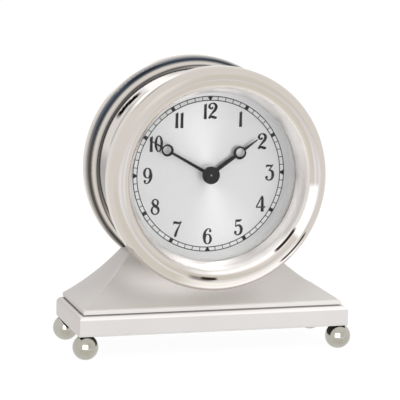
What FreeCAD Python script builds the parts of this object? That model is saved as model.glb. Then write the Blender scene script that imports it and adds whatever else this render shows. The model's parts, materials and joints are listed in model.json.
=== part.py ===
import FreeCAD, Part
import math
import os
import Sketcher

# Ship's deck clock on a plinth, with a quartz movement.
# Frame: +X to the viewer's right, +Y to the back, +Z up, millimetres.
# Origin: on the surface the clock stands on, under the middle of the plinth.
# The dial's axis runs along Y at the height dial_height.

DIMS = {
    # dial axis
    "dial_height": 99.06,
    # bezel, a turned ring that screws into the barrel
    "opening_radius": 47.6,
    "lip_front": 20.8,
    "lip_back": 19.8,
    "bead_radius": 6.3,
    "bead_centre_radius": 56.2,
    "bead_centre_front": 26.6,
    "slope_radius": 30.0,
    "bezel_edge_radius": 1.2,
    "skirt_outer_radius": 54.95,
    "skirt_inner_radius": 50.7,
    "skirt_end": 12.6,
    # glass and what holds it
    "gasket_inner_radius": 48.0,
    "gasket_thick": 0.4,
    "glass_radius": 50.5,
    "glass_thick": 2.0,
    "keeper_inner_radius": 48.2,
    "keeper_outer_radius": 50.6,
    "keeper_thick": 1.5,
    # barrel with its rear ring
    "barrel_front": 19.7,
    "barrel_radius": 58.0,
    "barrel_bore": 55.0,
    "barrel_chamfer": 0.6,
    "cove_start": 16.0,
    "cove_end": 21.5,
    "cove_end_radius": 59.6,
    "cove_radius": 9.0,
    "torus_end_radius": 60.6,
    "torus_radius": 3.2,
    "rim_front": 27.0,
    "rim_round": 1.5,
    "rim_radius": 62.6,
    "rim_back": 32.9,
    "rim_back_round": 0.8,
    "ledge_front": 27.3,
    "ledge_radius": 51.0,
    "recess_floor": 29.8,
    "recess_radius": 54.05,
    "seat_radius": 51.5,
    "seat_thick": 2.5,
    # dial and reflector ring
    "dial_front": 8.7,
    "dial_thick": 1.0,
    "dial_radius": 54.4,
    "reflector_inner_radius": 47.65,
    "reflector_outer_radius": 49.6,
    "reflector_front": 15.6,
    "reflector_foot": 1.2,
    "dial_screw_circle": 52.9,
    "dial_screw_radius": 0.75,
    "dial_screw_head_radius": 1.4,
    "dial_screw_head": 0.9,
    "dial_screw_end": 5.4,
    "dial_screw_slot": 0.4,
    # back cover
    "cover_radius": 54.0,
    "cover_thick": 2.5,
    "cover_dish_radius": 45.0,
    "cover_dish_depth": 0.8,
    "cover_spigot_radius": 50.9,
    "cover_spigot_bore": 47.5,
    "cover_spigot": 2.2,
    "cover_gap": 0.1,
    "notch_radius": 7.0,
    "notch_drop": 3.2,
    # plinth, pedestal and feet
    "plinth_width": 156.2,
    "plinth_depth": 58.12,
    "plinth_bottom": 14.3,
    "plinth_thick": 10.2,
    "plinth_top_round": 3.0,
    "plinth_corner_round": 1.0,
    "pedestal_half_width": 74.7,
    "pedestal_front": 25.7,
    "pedestal_back": 27.0,
    "pedestal_foot": 27.4,
    "pedestal_top": 58.0,
    "pedestal_setback": 39.4,
    "pedestal_sweep": 130.0,
    "shadow_gap": 0.7,
    "shadow_inset": 0.9,
    "foot_round": 0.9,
    "hollow_width": 100.0,
    "hollow_depth": 32.0,
    "hollow_front": 10.0,
    "hollow_top": 34.5,
    "ball_radius": 7.2,
    "ball_inset_side": 4.7,
    "ball_inset_front": 4.3,
    "ball_flat_radius": 1.5,
    "collar_radius": 3.4,
    "collar_start": 4.5,
    "stud_tip_gap": 0.3,
    "stud_hole_end": 21.5,
    "felt_thick": 0.8,
    "felt_inset": 0.3,
    "felt_hole_radius": 3.6,
    # fasteners
    "stud_radius": 2.0,
    "stud_low": 9.0,
    "stud_high": 21.0,
    "hole_gap": 0.05,
    "plinth_screw_side": 62.0,
    "plinth_screw_front": 14.0,
    "plinth_screw_back": 18.0,
    "plinth_screw_radius": 2.0,
    "plinth_screw_head_radius": 4.0,
    "plinth_screw_head": 2.0,
    "plinth_screw_top": 31.0,
    "plinth_screw_sunk": 0.6,
    "counterbore_gap": 0.3,
    "counterbore_depth": 3.8,
    "screw_slot": 1.0,
    "case_screw_side": 12.0,
    "case_screw_back": 6.0,
    "case_screw_radius": 2.0,
    "case_screw_head_radius": 3.6,
    "case_screw_head": 2.6,
    "saddle_clearance": 1.0,
    "case_screw_top": 46.2,
    # hands
    "hour_hand_front": 11.3,
    "minute_hand_front": 12.7,
    "hand_thick": 0.5,
    "hub_radius": 4.94,
    "hub_front": 13.8,
    "minute_length": 41.0,
    "minute_ring_centre": 29.0,
    "minute_ring_outer": 3.4,
    "minute_ring_inner": 2.3,
    "minute_root": 1.95,
    "minute_stem": 1.3,
    "minute_hub_radius": 3.6,
    "hour_length": 33.4,
    "hour_ring_centre": 20.8,
    "hour_ring_outer": 3.7,
    "hour_ring_inner": 2.5,
    "hour_root": 2.3,
    "hour_stem": 2.0,
    "hour_hub_radius": 4.2,
    "hand_tip": 0.45,
    "eye_shift": 0.4,
    "minute_hand_angle": 300.0,
    "hour_hand_angle": 55.0,
    "cap_pocket": 0.5,
    # movement housing
    "housing_half": 28.0,
    "housing_low": 29.0,
    "housing_high": 27.0,
    "housing_front": 7.2,
    "housing_split": 4.0,
    "housing_back": 9.6,
    "housing_wall": 1.4,
    "housing_face": 1.6,
    "housing_lid": 1.2,
    "bay_wall_low": 12.4,
    "bay_wall_high": 11.4,
    "bay_window_half": 26.2,
    "bay_window_low": 27.3,
    "bay_window_high": 12.7,
    "washer_radius": 9.0,
    "bush_radius": 3.5,
    "bush_bore": 1.66,
    "bush_front": 10.3,
    "clamp_radius": 4.7,
    "clamp_thick": 1.2,
    "clamp_slot": 0.8,
    "clamp_slot_depth": 0.5,
    # running clearances
    "pivot_gap": 0.04,
    "screw_gap": 0.03,
    "press_gap": 0.02,
    "end_shake": 0.1,
    # minute hand's arbor and its slip clutch
    "arbor_radius": 1.0,
    "arbor_end": 6.2,
    "arbor_recess": 0.6,
    "arbor_pivot_radius": 0.6,
    "clutch_flange_radius": 2.0,
    "clutch_flange_back": 2.8,
    "clutch_washer_radius": 1.9,
    "clutch_collar_radius": 1.7,
    "clutch_collar_front": 0.85,
    "clutch_collar_thick": 0.6,
    "clutch_sleeve": 1.0,
    "tube_bore": 1.05,
    "tube_radius": 1.6,
    "tube_back": 4.4,
    "pivot_radius": 0.35,
    "boss_radius": 1.2,
    "bridge_front": 6.4,
    "bridge_thick": 1.0,
    "bridge_left": 25.5,
    "bridge_right": 16.6,
    "bridge_low": 10.9,
    "bridge_high": 25.2,
    "bridge_tab_right": 19.4,
    "bridge_tab_high": 7.4,
    "shoulder_gap": 0.2,
    # posts inside the front housing
    "post_radius": 1.5,
    "post_screw_radius": 0.6,
    "post_screw_head_radius": 1.2,
    "post_screw_head": 0.8,
    "post_screw_front": 3.4,
    "rest_radius": 1.2,
    "stub_radius": 0.8,
    "stub_back": 2.9,
    # rotor magnet and setting knob
    "magnet_radius": 3.0,
    "magnet_front": 3.2,
    "magnet_back": 5.7,
    "setting_shaft_radius": 0.7,
    "setting_pivot_radius": 0.45,
    "setting_shaft_front": 4.4,
    "setting_pivot_front": 5.4,
    "knob_radius": 6.0,
    "knob_thick": 3.0,
    "knob_gap": 0.4,
    "knob_grip_radius": 0.45,
    "knob_grip_circle": 6.1,
    # motor and circuit
    "core_front": 2.9,
    "stator_front": 3.9,
    "stator_thick": 1.0,
    "stator_left": 3.0,
    "stator_right": 23.5,
    "stator_low": 7.9,
    "stator_high": 24.5,
    "stator_window_left": 12.4,
    "stator_window_low": 10.5,
    "stator_window_high": 21.8,
    "rotor_window": 3.5,
    "coil_axis": 21.0,
    "coil_half": 1.4,
    "coil_depth": 3.4,
    "bobbin_low": 10.7,
    "bobbin_length": 10.6,
    "bobbin_radius": 3.6,
    "bobbin_flange": 0.8,
    "bobbin_tube_radius": 2.1,
    "bobbin_bore": 1.6,
    "winding_radius": 3.2,
    "winding_gap": 0.05,
    "board_left": 19.7,
    "board_right": 26.3,
    "board_low": 10.8,
    "board_high": 5.5,
    "board_thick": 0.8,
    "chip_left": 21.0,
    "chip_side": 4.0,
    "chip_low": 4.5,
    "chip_thick": 1.2,
    "quartz_across": 23.0,
    "quartz_low": 10.2,
    "quartz_radius": 1.0,
    "quartz_length": 5.0,
    # battery
    "battery_radius": 7.1,
    "battery_length": 49.5,
    "battery_nub_radius": 2.7,
    "battery_nub": 1.0,
    "battery_depth": 1.9,
    "battery_drop": 20.0,
    "battery_shift": 0.3,
    "contact_thick": 0.3,
    "contact_half_deep": 4.0,
    "contact_half_high": 5.0,
    "minus_button_radius": 2.4,
    "minus_button_end": 25.2,
    "plus_button_radius": 1.6,
    "plus_button_end": 25.6,
}

doc = FreeCAD.newDocument("ships_deck_clock")
sheet = doc.addObject("Spreadsheet::Sheet", "Sheet")
for row, (alias, number) in enumerate(DIMS.items(), start=1):
    sheet.set("A%d" % row, alias)
    sheet.set("B%d" % row, str(number))
    sheet.setAlias("B%d" % row, alias)
doc.recompute()

NODES = {}
Vector = FreeCAD.Vector
ALONG_Y = FreeCAD.Rotation(Vector(1, 0, 0), -90)
ALONG_X = FreeCAD.Rotation(Vector(0, 1, 0), 90)
UPRIGHT = FreeCAD.Rotation()


def size(alias):
    """A dimension from the sheet."""
    return float(sheet.get(alias))


def node(name, thing):
    """Names a finished sub-part."""
    thing.Label = name
    NODES[name] = thing
    return thing


def bind(thing, **cells):
    """Ties properties to cells of the sheet, or to sums of cells."""
    for prop, expression in cells.items():
        thing.setExpression(prop, expression)
    return thing


def cell(alias):
    return "Sheet." + alias


def at(thing, x, y, z, rotation=UPRIGHT):
    thing.Placement = FreeCAD.Placement(Vector(x, y, z), rotation)
    return thing


def rod(radius, length, x, y, z, rotation=ALONG_Y):
    """A cylinder that starts at a point; radius and length are cells or sums of cells."""
    thing = doc.addObject("Part::Cylinder", "Rod")
    bind(thing, Radius=radius, Height=length)
    return at(thing, x, y, z, rotation)


def plain_rod(radius, length, x, y, z, rotation=ALONG_Y):
    """A cylinder of fixed size, for small movement parts."""
    thing = doc.addObject("Part::Cylinder", "Rod")
    thing.Radius = radius
    thing.Height = length
    return at(thing, x, y, z, rotation)


def block(x, y, z):
    """A box between two limits along each axis."""
    thing = doc.addObject("Part::Box", "Block")
    thing.Length = x[1] - x[0]
    thing.Width = y[1] - y[0]
    thing.Height = z[1] - z[0]
    return at(thing, x[0], y[0], z[0])


def less(high, low):
    """The difference of two cells."""
    return cell(high) + " - " + cell(low)


def fuse(*things):
    thing = doc.addObject("Part::MultiFuse", "Fuse")
    thing.Shapes = list(things)
    return thing


def cut(base, *tools):
    thing = doc.addObject("Part::Cut", "Cut")
    thing.Base = base
    thing.Tool = tools[0] if len(tools) == 1 else fuse(*tools)
    return thing


def group(*things):
    """Separate solids that share one node, such as a set of screws."""
    thing = doc.addObject("Part::Compound", "Group")
    thing.Links = list(things)
    return thing


def origin_plane(body, role):
    for feature in body.Origin.OriginFeatures:
        if feature.Role == role:
            return feature
    raise ValueError(role)


def arc_through(start, end, radius, side):
    """The arc of a radius between two points, drawn anticlockwise as sketches keep it.
    side is +1 to bulge left of the way from start to end, -1 to bulge right."""
    chord = end - start
    half = chord.Length / 2
    normal = Vector(-chord.y, chord.x, 0)
    normal.normalize()
    rise = math.sqrt(max(radius * radius - half * half, 0))
    centre = (start + end) * 0.5 - normal * (rise * side)
    first, last = (end, start) if side > 0 else (start, end)
    angles = [math.atan2(point.y - centre.y, point.x - centre.x) for point in (first, last)]
    if angles[1] < angles[0]:
        angles[1] += 2 * math.pi
    return Part.ArcOfCircle(Part.Circle(centre, Vector(0, 0, 1), radius), angles[0], angles[1])


def outline(sketch, corners, arcs):
    """Draws a closed outline. A corner is a pair of cells, each with an optional minus sign.
    arcs gives, for a corner's number, the radius cell and side of the arc that leaves it."""

    def number(name):
        return -size(name[1:]) if name.startswith("-") else size(name)

    points = [Vector(number(across), number(up), 0) for across, up in corners]
    count = len(points)
    for index in range(count):
        start = points[index]
        end = points[(index + 1) % count]
        if index in arcs:
            radius, side = arcs[index]
            sketch.addGeometry(arc_through(start, end, size(radius), side))
        else:
            sketch.addGeometry(Part.LineSegment(start, end))
    starts = [2 if index in arcs and arcs[index][1] > 0 else 1 for index in range(count)]
    for index in range(count):
        after = (index + 1) % count
        joint = Sketcher.Constraint("Coincident", index, 3 - starts[index], after, starts[after])
        sketch.addConstraint(joint)
    for index, (across, up) in enumerate(corners):
        for kind, name in (("DistanceX", across), ("DistanceY", up)):
            value = number(name)
            mark = sketch.addConstraint(Sketcher.Constraint(kind, -1, 1, index, starts[index], value))
            sign = "-" if name.startswith("-") else ""
            sketch.setExpression("Constraints[%d]" % mark, sign + cell(name.lstrip("-")))
        if index in arcs:
            radius = arcs[index][0]
            mark = sketch.addConstraint(Sketcher.Constraint("Radius", index, size(radius)))
            sketch.setExpression("Constraints[%d]" % mark, cell(radius))


def derived(alias, number):
    """Adds a worked-out length to the sheet, so that outlines can be tied to it."""
    row = len(DIMS) + 1
    DIMS[alias] = number
    sheet.set("A%d" % row, alias)
    sheet.set("B%d" % row, "%.6f" % number)
    sheet.setAlias("B%d" % row, alias)
    doc.recompute()


def turned(name, corners, arcs=None):
    """A ring or disc turned about the dial's axis. Corners are (along Y, radius)."""
    body = doc.addObject("PartDesign::Body", name)
    sketch = body.newObject("Sketcher::SketchObject", name + "_section")
    sketch.AttachmentSupport = (origin_plane(body, "YZ_Plane"), [""])
    sketch.MapMode = "FlatFace"
    outline(sketch, corners, arcs or {})
    turn = body.newObject("PartDesign::Revolution", name + "_turn")
    turn.Profile = sketch
    turn.ReferenceAxis = (sketch, ["H_Axis"])
    turn.Angle = 360
    body.Tip = turn
    body.setExpression("Placement.Base.z", cell("dial_height"))
    return body


def ring_corners(front, back, inner, outer):
    return [(front, inner), (front, outer), (back, outer), (back, inner)]


def on_axis(x, y, rise):
    """A point given from the dial's centre."""
    return x, y, size("dial_height") + rise


# ---------------------------------------------------------------- worked-out lengths

def slope_tangent():
    """Where the bezel's inner slope runs into the round bead, as (Y, radius)."""
    lip = Vector(-size("lip_front"), size("opening_radius"), 0)
    bead = Vector(-size("bead_centre_front"), size("bead_centre_radius"), 0)
    small = size("bead_radius")
    large = size("slope_radius")
    span = (bead - lip).Length
    along = (large * large - (large - small) ** 2 + span * span) / (2 * span)
    across = math.sqrt(large * large - along * along)
    unit = (bead - lip) * (1 / span)
    side = Vector(unit.y, -unit.x, 0)
    centres = [lip + unit * along + side * (across * sign) for sign in (1, -1)]
    centre = max(centres, key=lambda point: point.x)
    away = bead - centre
    away.normalize()
    return bead + away * small


tangent = slope_tangent()
derived("bead_start", -tangent.x)
derived("bead_start_radius", tangent.y)
derived("bezel_radius", size("bead_centre_radius") + size("bead_radius"))
derived("bezel_edge_start", size("lip_back") + size("bezel_edge_radius"))
derived("bezel_edge_end_radius", size("bezel_radius") - size("bezel_edge_radius"))
derived("glass_front", size("lip_back") - size("gasket_thick"))
derived("glass_back", size("glass_front") - size("glass_thick"))
derived("keeper_back", size("glass_back") - size("keeper_thick"))
derived("gasket_outer_radius", size("keeper_outer_radius"))
derived("barrel_edge_radius", size("barrel_radius") - size("barrel_chamfer"))
derived("barrel_edge", size("barrel_front") - size("barrel_chamfer"))
derived("rim_front_radius", size("rim_radius") - size("rim_round"))
derived("rim_straight", size("rim_front") + size("rim_round"))
derived("rim_back_straight", size("rim_back") - size("rim_back_round"))
derived("rim_back_radius", size("rim_radius") - size("rim_back_round"))
derived("dial_back", size("dial_front") - size("dial_thick"))
derived("seat_back", size("dial_back") - size("seat_thick"))
derived("foot_front", size("dial_front") + size("reflector_foot"))
derived("cover_front", size("recess_floor") + size("cover_gap"))
derived("cover_back", size("cover_front") + size("cover_thick"))
derived("cover_dish", size("cover_back") - size("cover_dish_depth"))
derived("cover_spigot_end", size("cover_front") - size("cover_spigot"))
derived("axis_radius", 0.0)
derived("dial_bore", size("bush_radius") + size("hole_gap"))
derived("clamp_front", size("dial_front") + size("clamp_thick"))
derived("clamp_bore", size("bush_radius") + size("screw_gap"))
derived("dial_screw_hole", size("dial_screw_radius") + size("hole_gap"))
derived("dial_screw_head_front", size("foot_front") + size("dial_screw_head"))
derived("bridge_back", size("bridge_front") + size("bridge_thick"))
derived("shoulder", size("bridge_front") - size("shoulder_gap"))
derived("pivot_hole", size("pivot_radius") + size("pivot_gap"))
derived("knob_front", size("housing_back") + size("knob_gap"))
derived("plinth_top", size("plinth_bottom") + size("plinth_thick"))
derived("plinth_screw_hole", size("plinth_screw_radius") + size("hole_gap"))
derived("plinth_screw_low", size("plinth_bottom") + size("plinth_screw_sunk"))
derived("counterbore_radius", size("plinth_screw_head_radius") + size("counterbore_gap"))
derived("case_screw_hole", size("case_screw_radius") + size("hole_gap"))
derived("stud_hole", size("stud_radius") + size("hole_gap"))
derived("ball_height", math.sqrt(size("ball_radius") ** 2 - size("ball_flat_radius") ** 2))
derived("collar_low", size("ball_height") + size("collar_start"))
derived("pedestal_low", size("plinth_top") + size("shadow_gap"))
derived("pedestal_neck_half", size("pedestal_half_width") - size("shadow_inset"))
derived("pedestal_top_half", size("pedestal_half_width") - size("pedestal_setback"))
derived("pedestal_foot_start", size("pedestal_foot") - size("foot_round"))
derived("pedestal_foot_half", size("pedestal_half_width") - size("foot_round"))
derived("pedestal_foot_front", size("pedestal_front") - size("foot_round"))
derived("pedestal_top_front", size("pedestal_setback") - size("pedestal_front"))
derived("pedestal_neck_front", size("pedestal_front") - size("shadow_inset"))
derived("pedestal_neck_back", size("pedestal_back") - size("shadow_inset"))


# ---------------------------------------------------------------- case

def make_bezel():
    corners = [
        ("-lip_back", "opening_radius"),
        ("-lip_front", "opening_radius"),
        ("-bead_start", "bead_start_radius"),
        ("-bead_centre_front", "bezel_radius"),
        ("-bezel_edge_start", "bezel_radius"),
        ("-lip_back", "bezel_edge_end_radius"),
        ("-lip_back", "skirt_outer_radius"),
        ("-skirt_end", "skirt_outer_radius"),
        ("-skirt_end", "skirt_inner_radius"),
        ("-lip_back", "skirt_inner_radius"),
    ]
    arcs = {1: ("slope_radius", 1), 2: ("bead_radius", 1), 4: ("bezel_edge_radius", 1)}
    node("bezel", turned("bezel", corners, arcs))


def make_barrel():
    corners = [
        ("-barrel_front", "barrel_bore"),
        ("-barrel_front", "barrel_edge_radius"),
        ("-barrel_edge", "barrel_radius"),
        ("cove_start", "barrel_radius"),
        ("cove_end", "cove_end_radius"),
        ("rim_front", "torus_end_radius"),
        ("rim_front", "rim_front_radius"),
        ("rim_straight", "rim_radius"),
        ("rim_back_straight", "rim_radius"),
        ("rim_back", "rim_back_radius"),
        ("rim_back", "recess_radius"),
        ("recess_floor", "recess_radius"),
        ("recess_floor", "ledge_radius"),
        ("ledge_front", "ledge_radius"),
        ("ledge_front", "barrel_bore"),
        ("-seat_back", "barrel_bore"),
        ("-seat_back", "seat_radius"),
        ("-dial_back", "seat_radius"),
        ("-dial_back", "barrel_bore"),
    ]
    arcs = {
        3: ("cove_radius", -1),
        4: ("torus_radius", 1),
        6: ("rim_round", 1),
        8: ("rim_back_round", 1),
    }
    body = turned("barrel_turning", corners, arcs)
    tools = []
    for x, z in dial_screw_places():
        tools.append(rod(cell("dial_screw_radius") + " + " + cell("screw_gap"), "6", x,
                         -size("foot_front"), z))
    for x, y in case_screw_places():
        tools.append(rod(cell("case_screw_radius") + " + " + cell("screw_gap"),
                         less("dial_height", "barrel_bore") + " + 5", x, y,
                         size("dial_height") - size("rim_radius"), UPRIGHT))
    node("case_barrel", cut(body, *tools))
    return body


def dial_screw_places():
    """Three screws round the dial, as (X, Z)."""
    places = []
    radius = size("dial_screw_circle")
    for step in range(3):
        angle = math.radians(90 + 120 * step)
        places.append((radius * math.cos(angle), size("dial_height") + radius * math.sin(angle)))
    return places


def case_screw_places():
    side = size("case_screw_side")
    return [(-side, size("case_screw_back")), (side, size("case_screw_back"))]


def make_glazing():
    node("glass_gasket", turned("glass_gasket", ring_corners(
        "-lip_back", "-glass_front", "gasket_inner_radius", "gasket_outer_radius")))
    node("glass", turned("glass", ring_corners(
        "-glass_front", "-glass_back", "axis_radius", "glass_radius")))
    node("glass_retaining_ring", turned("glass_retaining_ring", ring_corners(
        "-glass_back", "-keeper_back", "keeper_inner_radius", "keeper_outer_radius")))


def make_dial():
    plate = turned("dial_turning", ring_corners(
        "-dial_front", "-dial_back", "dial_bore", "dial_radius"))
    corners = [
        ("-dial_front", "reflector_inner_radius"),
        ("-reflector_front", "reflector_inner_radius"),
        ("-reflector_front", "reflector_outer_radius"),
        ("-foot_front", "reflector_outer_radius"),
        ("-foot_front", "dial_radius"),
        ("-dial_front", "dial_radius"),
    ]
    ring = turned("reflector_turning", corners)
    places = dial_screw_places()
    front = -size("dial_screw_head_front")
    plate_holes = [rod(cell("dial_screw_hole"), "5", x, front, z) for x, z in places]
    ring_holes = [rod(cell("dial_screw_hole"), "5", x, front, z) for x, z in places]
    node("dial_plate", cut(plate, *plate_holes))
    node("reflector_ring", cut(ring, *ring_holes))
    screws = []
    slot_half = size("dial_screw_slot") / 2
    reach = 2 * size("dial_screw_head_radius")
    for x, z in places:
        shank = rod(cell("dial_screw_radius"), less("foot_front", "dial_screw_end"), x,
                    -size("foot_front"), z)
        head = rod(cell("dial_screw_head_radius"), cell("dial_screw_head"), x, front, z)
        slot = block((x - reach, x + reach), (front - 1, front + size("dial_screw_slot")),
                     (z - slot_half, z + slot_half))
        screws.append(cut(fuse(shank, head), slot))
    node("dial_screws", group(*screws))


def make_back_cover():
    corners = [
        ("cover_spigot_end", "cover_spigot_bore"),
        ("cover_spigot_end", "cover_spigot_radius"),
        ("cover_front", "cover_spigot_radius"),
        ("cover_front", "cover_radius"),
        ("cover_back", "cover_radius"),
        ("cover_back", "cover_dish_radius"),
        ("cover_dish", "cover_dish_radius"),
        ("cover_dish", "axis_radius"),
        ("cover_front", "axis_radius"),
        ("cover_front", "cover_spigot_bore"),
    ]
    disc = turned("cover_turning", corners)
    drop = size("cover_radius") + size("notch_drop")
    x, y, z = on_axis(0, size("cover_spigot_end") - 1, -drop)
    notch = rod(cell("notch_radius"), "8", x, y, z)
    node("back_cover", cut(disc, notch))


# ---------------------------------------------------------------- plinth, pedestal, feet

def padded(name, plane, corners, arcs, length):
    """A body padded from an outline on one of its origin planes, symmetrically."""
    body = doc.addObject("PartDesign::Body", name)
    sketch = body.newObject("Sketcher::SketchObject", name + "_section")
    sketch.AttachmentSupport = (origin_plane(body, plane), [""])
    sketch.MapMode = "FlatFace"
    outline(sketch, corners, arcs)
    pad = body.newObject("PartDesign::Pad", name + "_pad")
    pad.Profile = sketch
    pad.Midplane = True
    pad.setExpression("Length", length)
    body.Tip = pad
    return body


def make_pedestal(barrel):
    # seen from the front: a foot band, a shadow gap under it and concave flanks
    front_view = [
        ("-pedestal_neck_half", "plinth_top"),
        ("-pedestal_neck_half", "pedestal_low"),
        ("-pedestal_half_width", "pedestal_low"),
        ("-pedestal_half_width", "pedestal_foot_start"),
        ("-pedestal_foot_half", "pedestal_foot"),
        ("-pedestal_top_half", "pedestal_top"),
        ("pedestal_top_half", "pedestal_top"),
        ("pedestal_foot_half", "pedestal_foot"),
        ("pedestal_half_width", "pedestal_foot_start"),
        ("pedestal_half_width", "pedestal_low"),
        ("pedestal_neck_half", "pedestal_low"),
        ("pedestal_neck_half", "plinth_top"),
    ]
    flanks = {
        3: ("foot_round", 1),
        4: ("pedestal_sweep", -1),
        6: ("pedestal_sweep", -1),
        7: ("foot_round", 1),
    }
    mass = padded("pedestal_front_view", "XZ_Plane", front_view, flanks, "80")
    # seen from the side: the same sweep at the front, an upright back
    side_view = [
        ("-pedestal_neck_front", "plinth_top"),
        ("-pedestal_neck_front", "pedestal_low"),
        ("-pedestal_front", "pedestal_low"),
        ("-pedestal_front", "pedestal_foot_start"),
        ("-pedestal_foot_front", "pedestal_foot"),
        ("pedestal_top_front", "pedestal_top"),
        ("pedestal_back", "pedestal_top"),
        ("pedestal_back", "pedestal_low"),
        ("pedestal_neck_back", "pedestal_low"),
        ("pedestal_neck_back", "plinth_top"),
    ]
    side = padded("pedestal_side_view", "YZ_Plane", side_view,
                  {3: ("foot_round", 1), 4: ("pedestal_sweep", -1)}, "200")
    blank = doc.addObject("Part::Common", "PedestalBlank")
    blank.Base = mass
    blank.Tool = side
    # the saddle is the barrel's own outside, mouldings and all
    inside = rod(cell("barrel_bore") + " + " + cell("saddle_clearance"), "60", 0,
                 -size("pedestal_front"), size("dial_height"))
    tools = [barrel, inside]
    half = size("hollow_width") / 2
    front = -size("hollow_front")
    hollow = block((-half, half), (front, front + size("hollow_depth")),
                   (size("plinth_bottom"), size("hollow_top")))
    bind(hollow, Length=cell("hollow_width"), Width=cell("hollow_depth"))
    tools.append(hollow)
    for x, y in plinth_screw_places():
        tools.append(rod(cell("plinth_screw_hole"), "12", x, y, 20, UPRIGHT))
    for x, y in case_screw_places():
        tools.append(rod(cell("case_screw_hole"), "30", x, y, 30, UPRIGHT))
    node("pedestal", cut(blank, *tools))


def plinth_screw_places():
    side = size("plinth_screw_side")
    rows = (-size("plinth_screw_front"), size("plinth_screw_back"))
    return [(x, y) for x in (-side, side) for y in rows]


def ball_places():
    x = size("plinth_width") / 2 - size("ball_inset_side")
    y = size("plinth_depth") / 2 - size("ball_inset_front")
    return {
        "front_left": (-x, -y),
        "front_right": (x, -y),
        "rear_left": (-x, y),
        "rear_right": (x, y),
    }


def make_plinth():
    body = doc.addObject("PartDesign::Body", "plinth_body")
    slab = body.newObject("PartDesign::AdditiveBox", "plinth_slab")
    bind(slab, Length=cell("plinth_width"), Width=cell("plinth_depth"), Height=cell("plinth_thick"))
    body.Tip = slab
    doc.recompute()
    upright = [name for name in edge_names(slab.Shape) if edge_runs(slab.Shape, name, "z")]
    corner = body.newObject("PartDesign::Fillet", "plinth_corners")
    corner.Base = (slab, upright)
    corner.setExpression("Radius", cell("plinth_corner_round"))
    body.Tip = corner
    doc.recompute()
    thick = size("plinth_thick")
    top = [name for name in edge_names(corner.Shape) if edge_at_height(corner.Shape, name, thick)]
    crown = body.newObject("PartDesign::Fillet", "plinth_top_edge")
    crown.Base = (corner, top[:1])
    crown.setExpression("Radius", cell("plinth_top_round"))
    body.Tip = crown
    at(body, -size("plinth_width") / 2, -size("plinth_depth") / 2, size("plinth_bottom"))
    tools = []
    low = size("plinth_bottom") - 1
    for x, y in plinth_screw_places():
        tools.append(rod(cell("plinth_screw_hole"), "20", x, y, low, UPRIGHT))
        tools.append(rod(cell("counterbore_radius"), cell("counterbore_depth"), x, y, low, UPRIGHT))
    for x, y in ball_places().values():
        tools.append(rod(cell("stud_hole"), less("stud_hole_end", "plinth_bottom") + " + 1", x, y, low,
                         UPRIGHT))
    node("plinth", cut(body, *tools))


def edge_names(shape):
    return ["Edge%d" % (index + 1) for index in range(len(shape.Edges))]


def edge_runs(shape, name, axis):
    edge = shape.getElement(name)
    box = edge.BoundBox
    lengths = {"x": box.XLength, "y": box.YLength, "z": box.ZLength}
    return lengths[axis] > 0.9 * edge.Length


def edge_at_height(shape, name, height):
    box = shape.getElement(name).BoundBox
    return abs(box.ZMin - height) < 1e-6 and abs(box.ZMax - height) < 1e-6


def make_feet():
    centre = size("ball_height")
    low = size("stud_low")
    studs = []
    for name, (x, y) in ball_places().items():
        ball = doc.addObject("Part::Sphere", "Ball")
        bind(ball, Radius=cell("ball_radius"))
        at(ball, x, y, centre)
        collar = rod(cell("collar_radius"), less("plinth_bottom", "collar_low"), x, y,
                     size("collar_low"), UPRIGHT)
        under = block((x - 10, x + 10), (y - 10, y + 10), (-3, 0))
        hole = rod(cell("stud_hole"), "10", x, y, low - size("stud_tip_gap"), UPRIGHT)
        node("ball_foot_" + name, cut(fuse(ball, collar), under, hole))
        studs.append(rod(cell("stud_radius"), less("stud_high", "stud_low"), x, y, low, UPRIGHT))
    node("foot_studs", group(*studs))


def make_felt():
    """A felt sheet glued under the plinth, cut out round the balls' collars."""
    half_width = size("plinth_width") / 2 - size("felt_inset")
    half_depth = size("plinth_depth") / 2 - size("felt_inset")
    high = size("plinth_bottom")
    low = high - size("felt_thick")
    sheet_of_felt = block((-half_width, half_width), (-half_depth, half_depth), (low, high))
    holes = []
    for x, y in ball_places().values():
        holes.append(rod(cell("felt_hole_radius"), "3", x, y, low - 1, UPRIGHT))
    node("base_felt", cut(sheet_of_felt, *holes))


def slotted_screw(x, y, low, head, shank):
    """An upright screw with its slotted head below; head is a rod, shank a rod."""
    half = size("screw_slot") / 2
    depth = size("screw_slot")
    slot = block((x - 5, x + 5), (y - half, y + half), (low - depth, low + depth))
    return cut(fuse(shank, head), slot)


def make_base_screws():
    screws = []
    low = size("plinth_screw_low")
    for x, y in plinth_screw_places():
        shank = rod(cell("plinth_screw_radius"), less("plinth_screw_top", "plinth_screw_low"), x, y, low,
                    UPRIGHT)
        head = rod(cell("plinth_screw_head_radius"), cell("plinth_screw_head"), x, y, low, UPRIGHT)
        screws.append(slotted_screw(x, y, low, head, shank))
    node("plinth_screws", group(*screws))
    screws = []
    top = size("hollow_top")
    low = top - size("case_screw_head")
    for x, y in case_screw_places():
        shank = rod(cell("case_screw_radius"), less("case_screw_top", "hollow_top"), x, y, top, UPRIGHT)
        head = rod(cell("case_screw_head_radius"), cell("case_screw_head"), x, y, low, UPRIGHT)
        screws.append(slotted_screw(x, y, low, head, shank))
    node("case_screws", group(*screws))


# ---------------------------------------------------------------- gears

# Where each wheel turns, as (X, rise) from the dial's centre.
def along(start, distance, degrees):
    angle = math.radians(degrees)
    return start[0] + distance * math.cos(angle), start[1] + distance * math.sin(angle)


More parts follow.
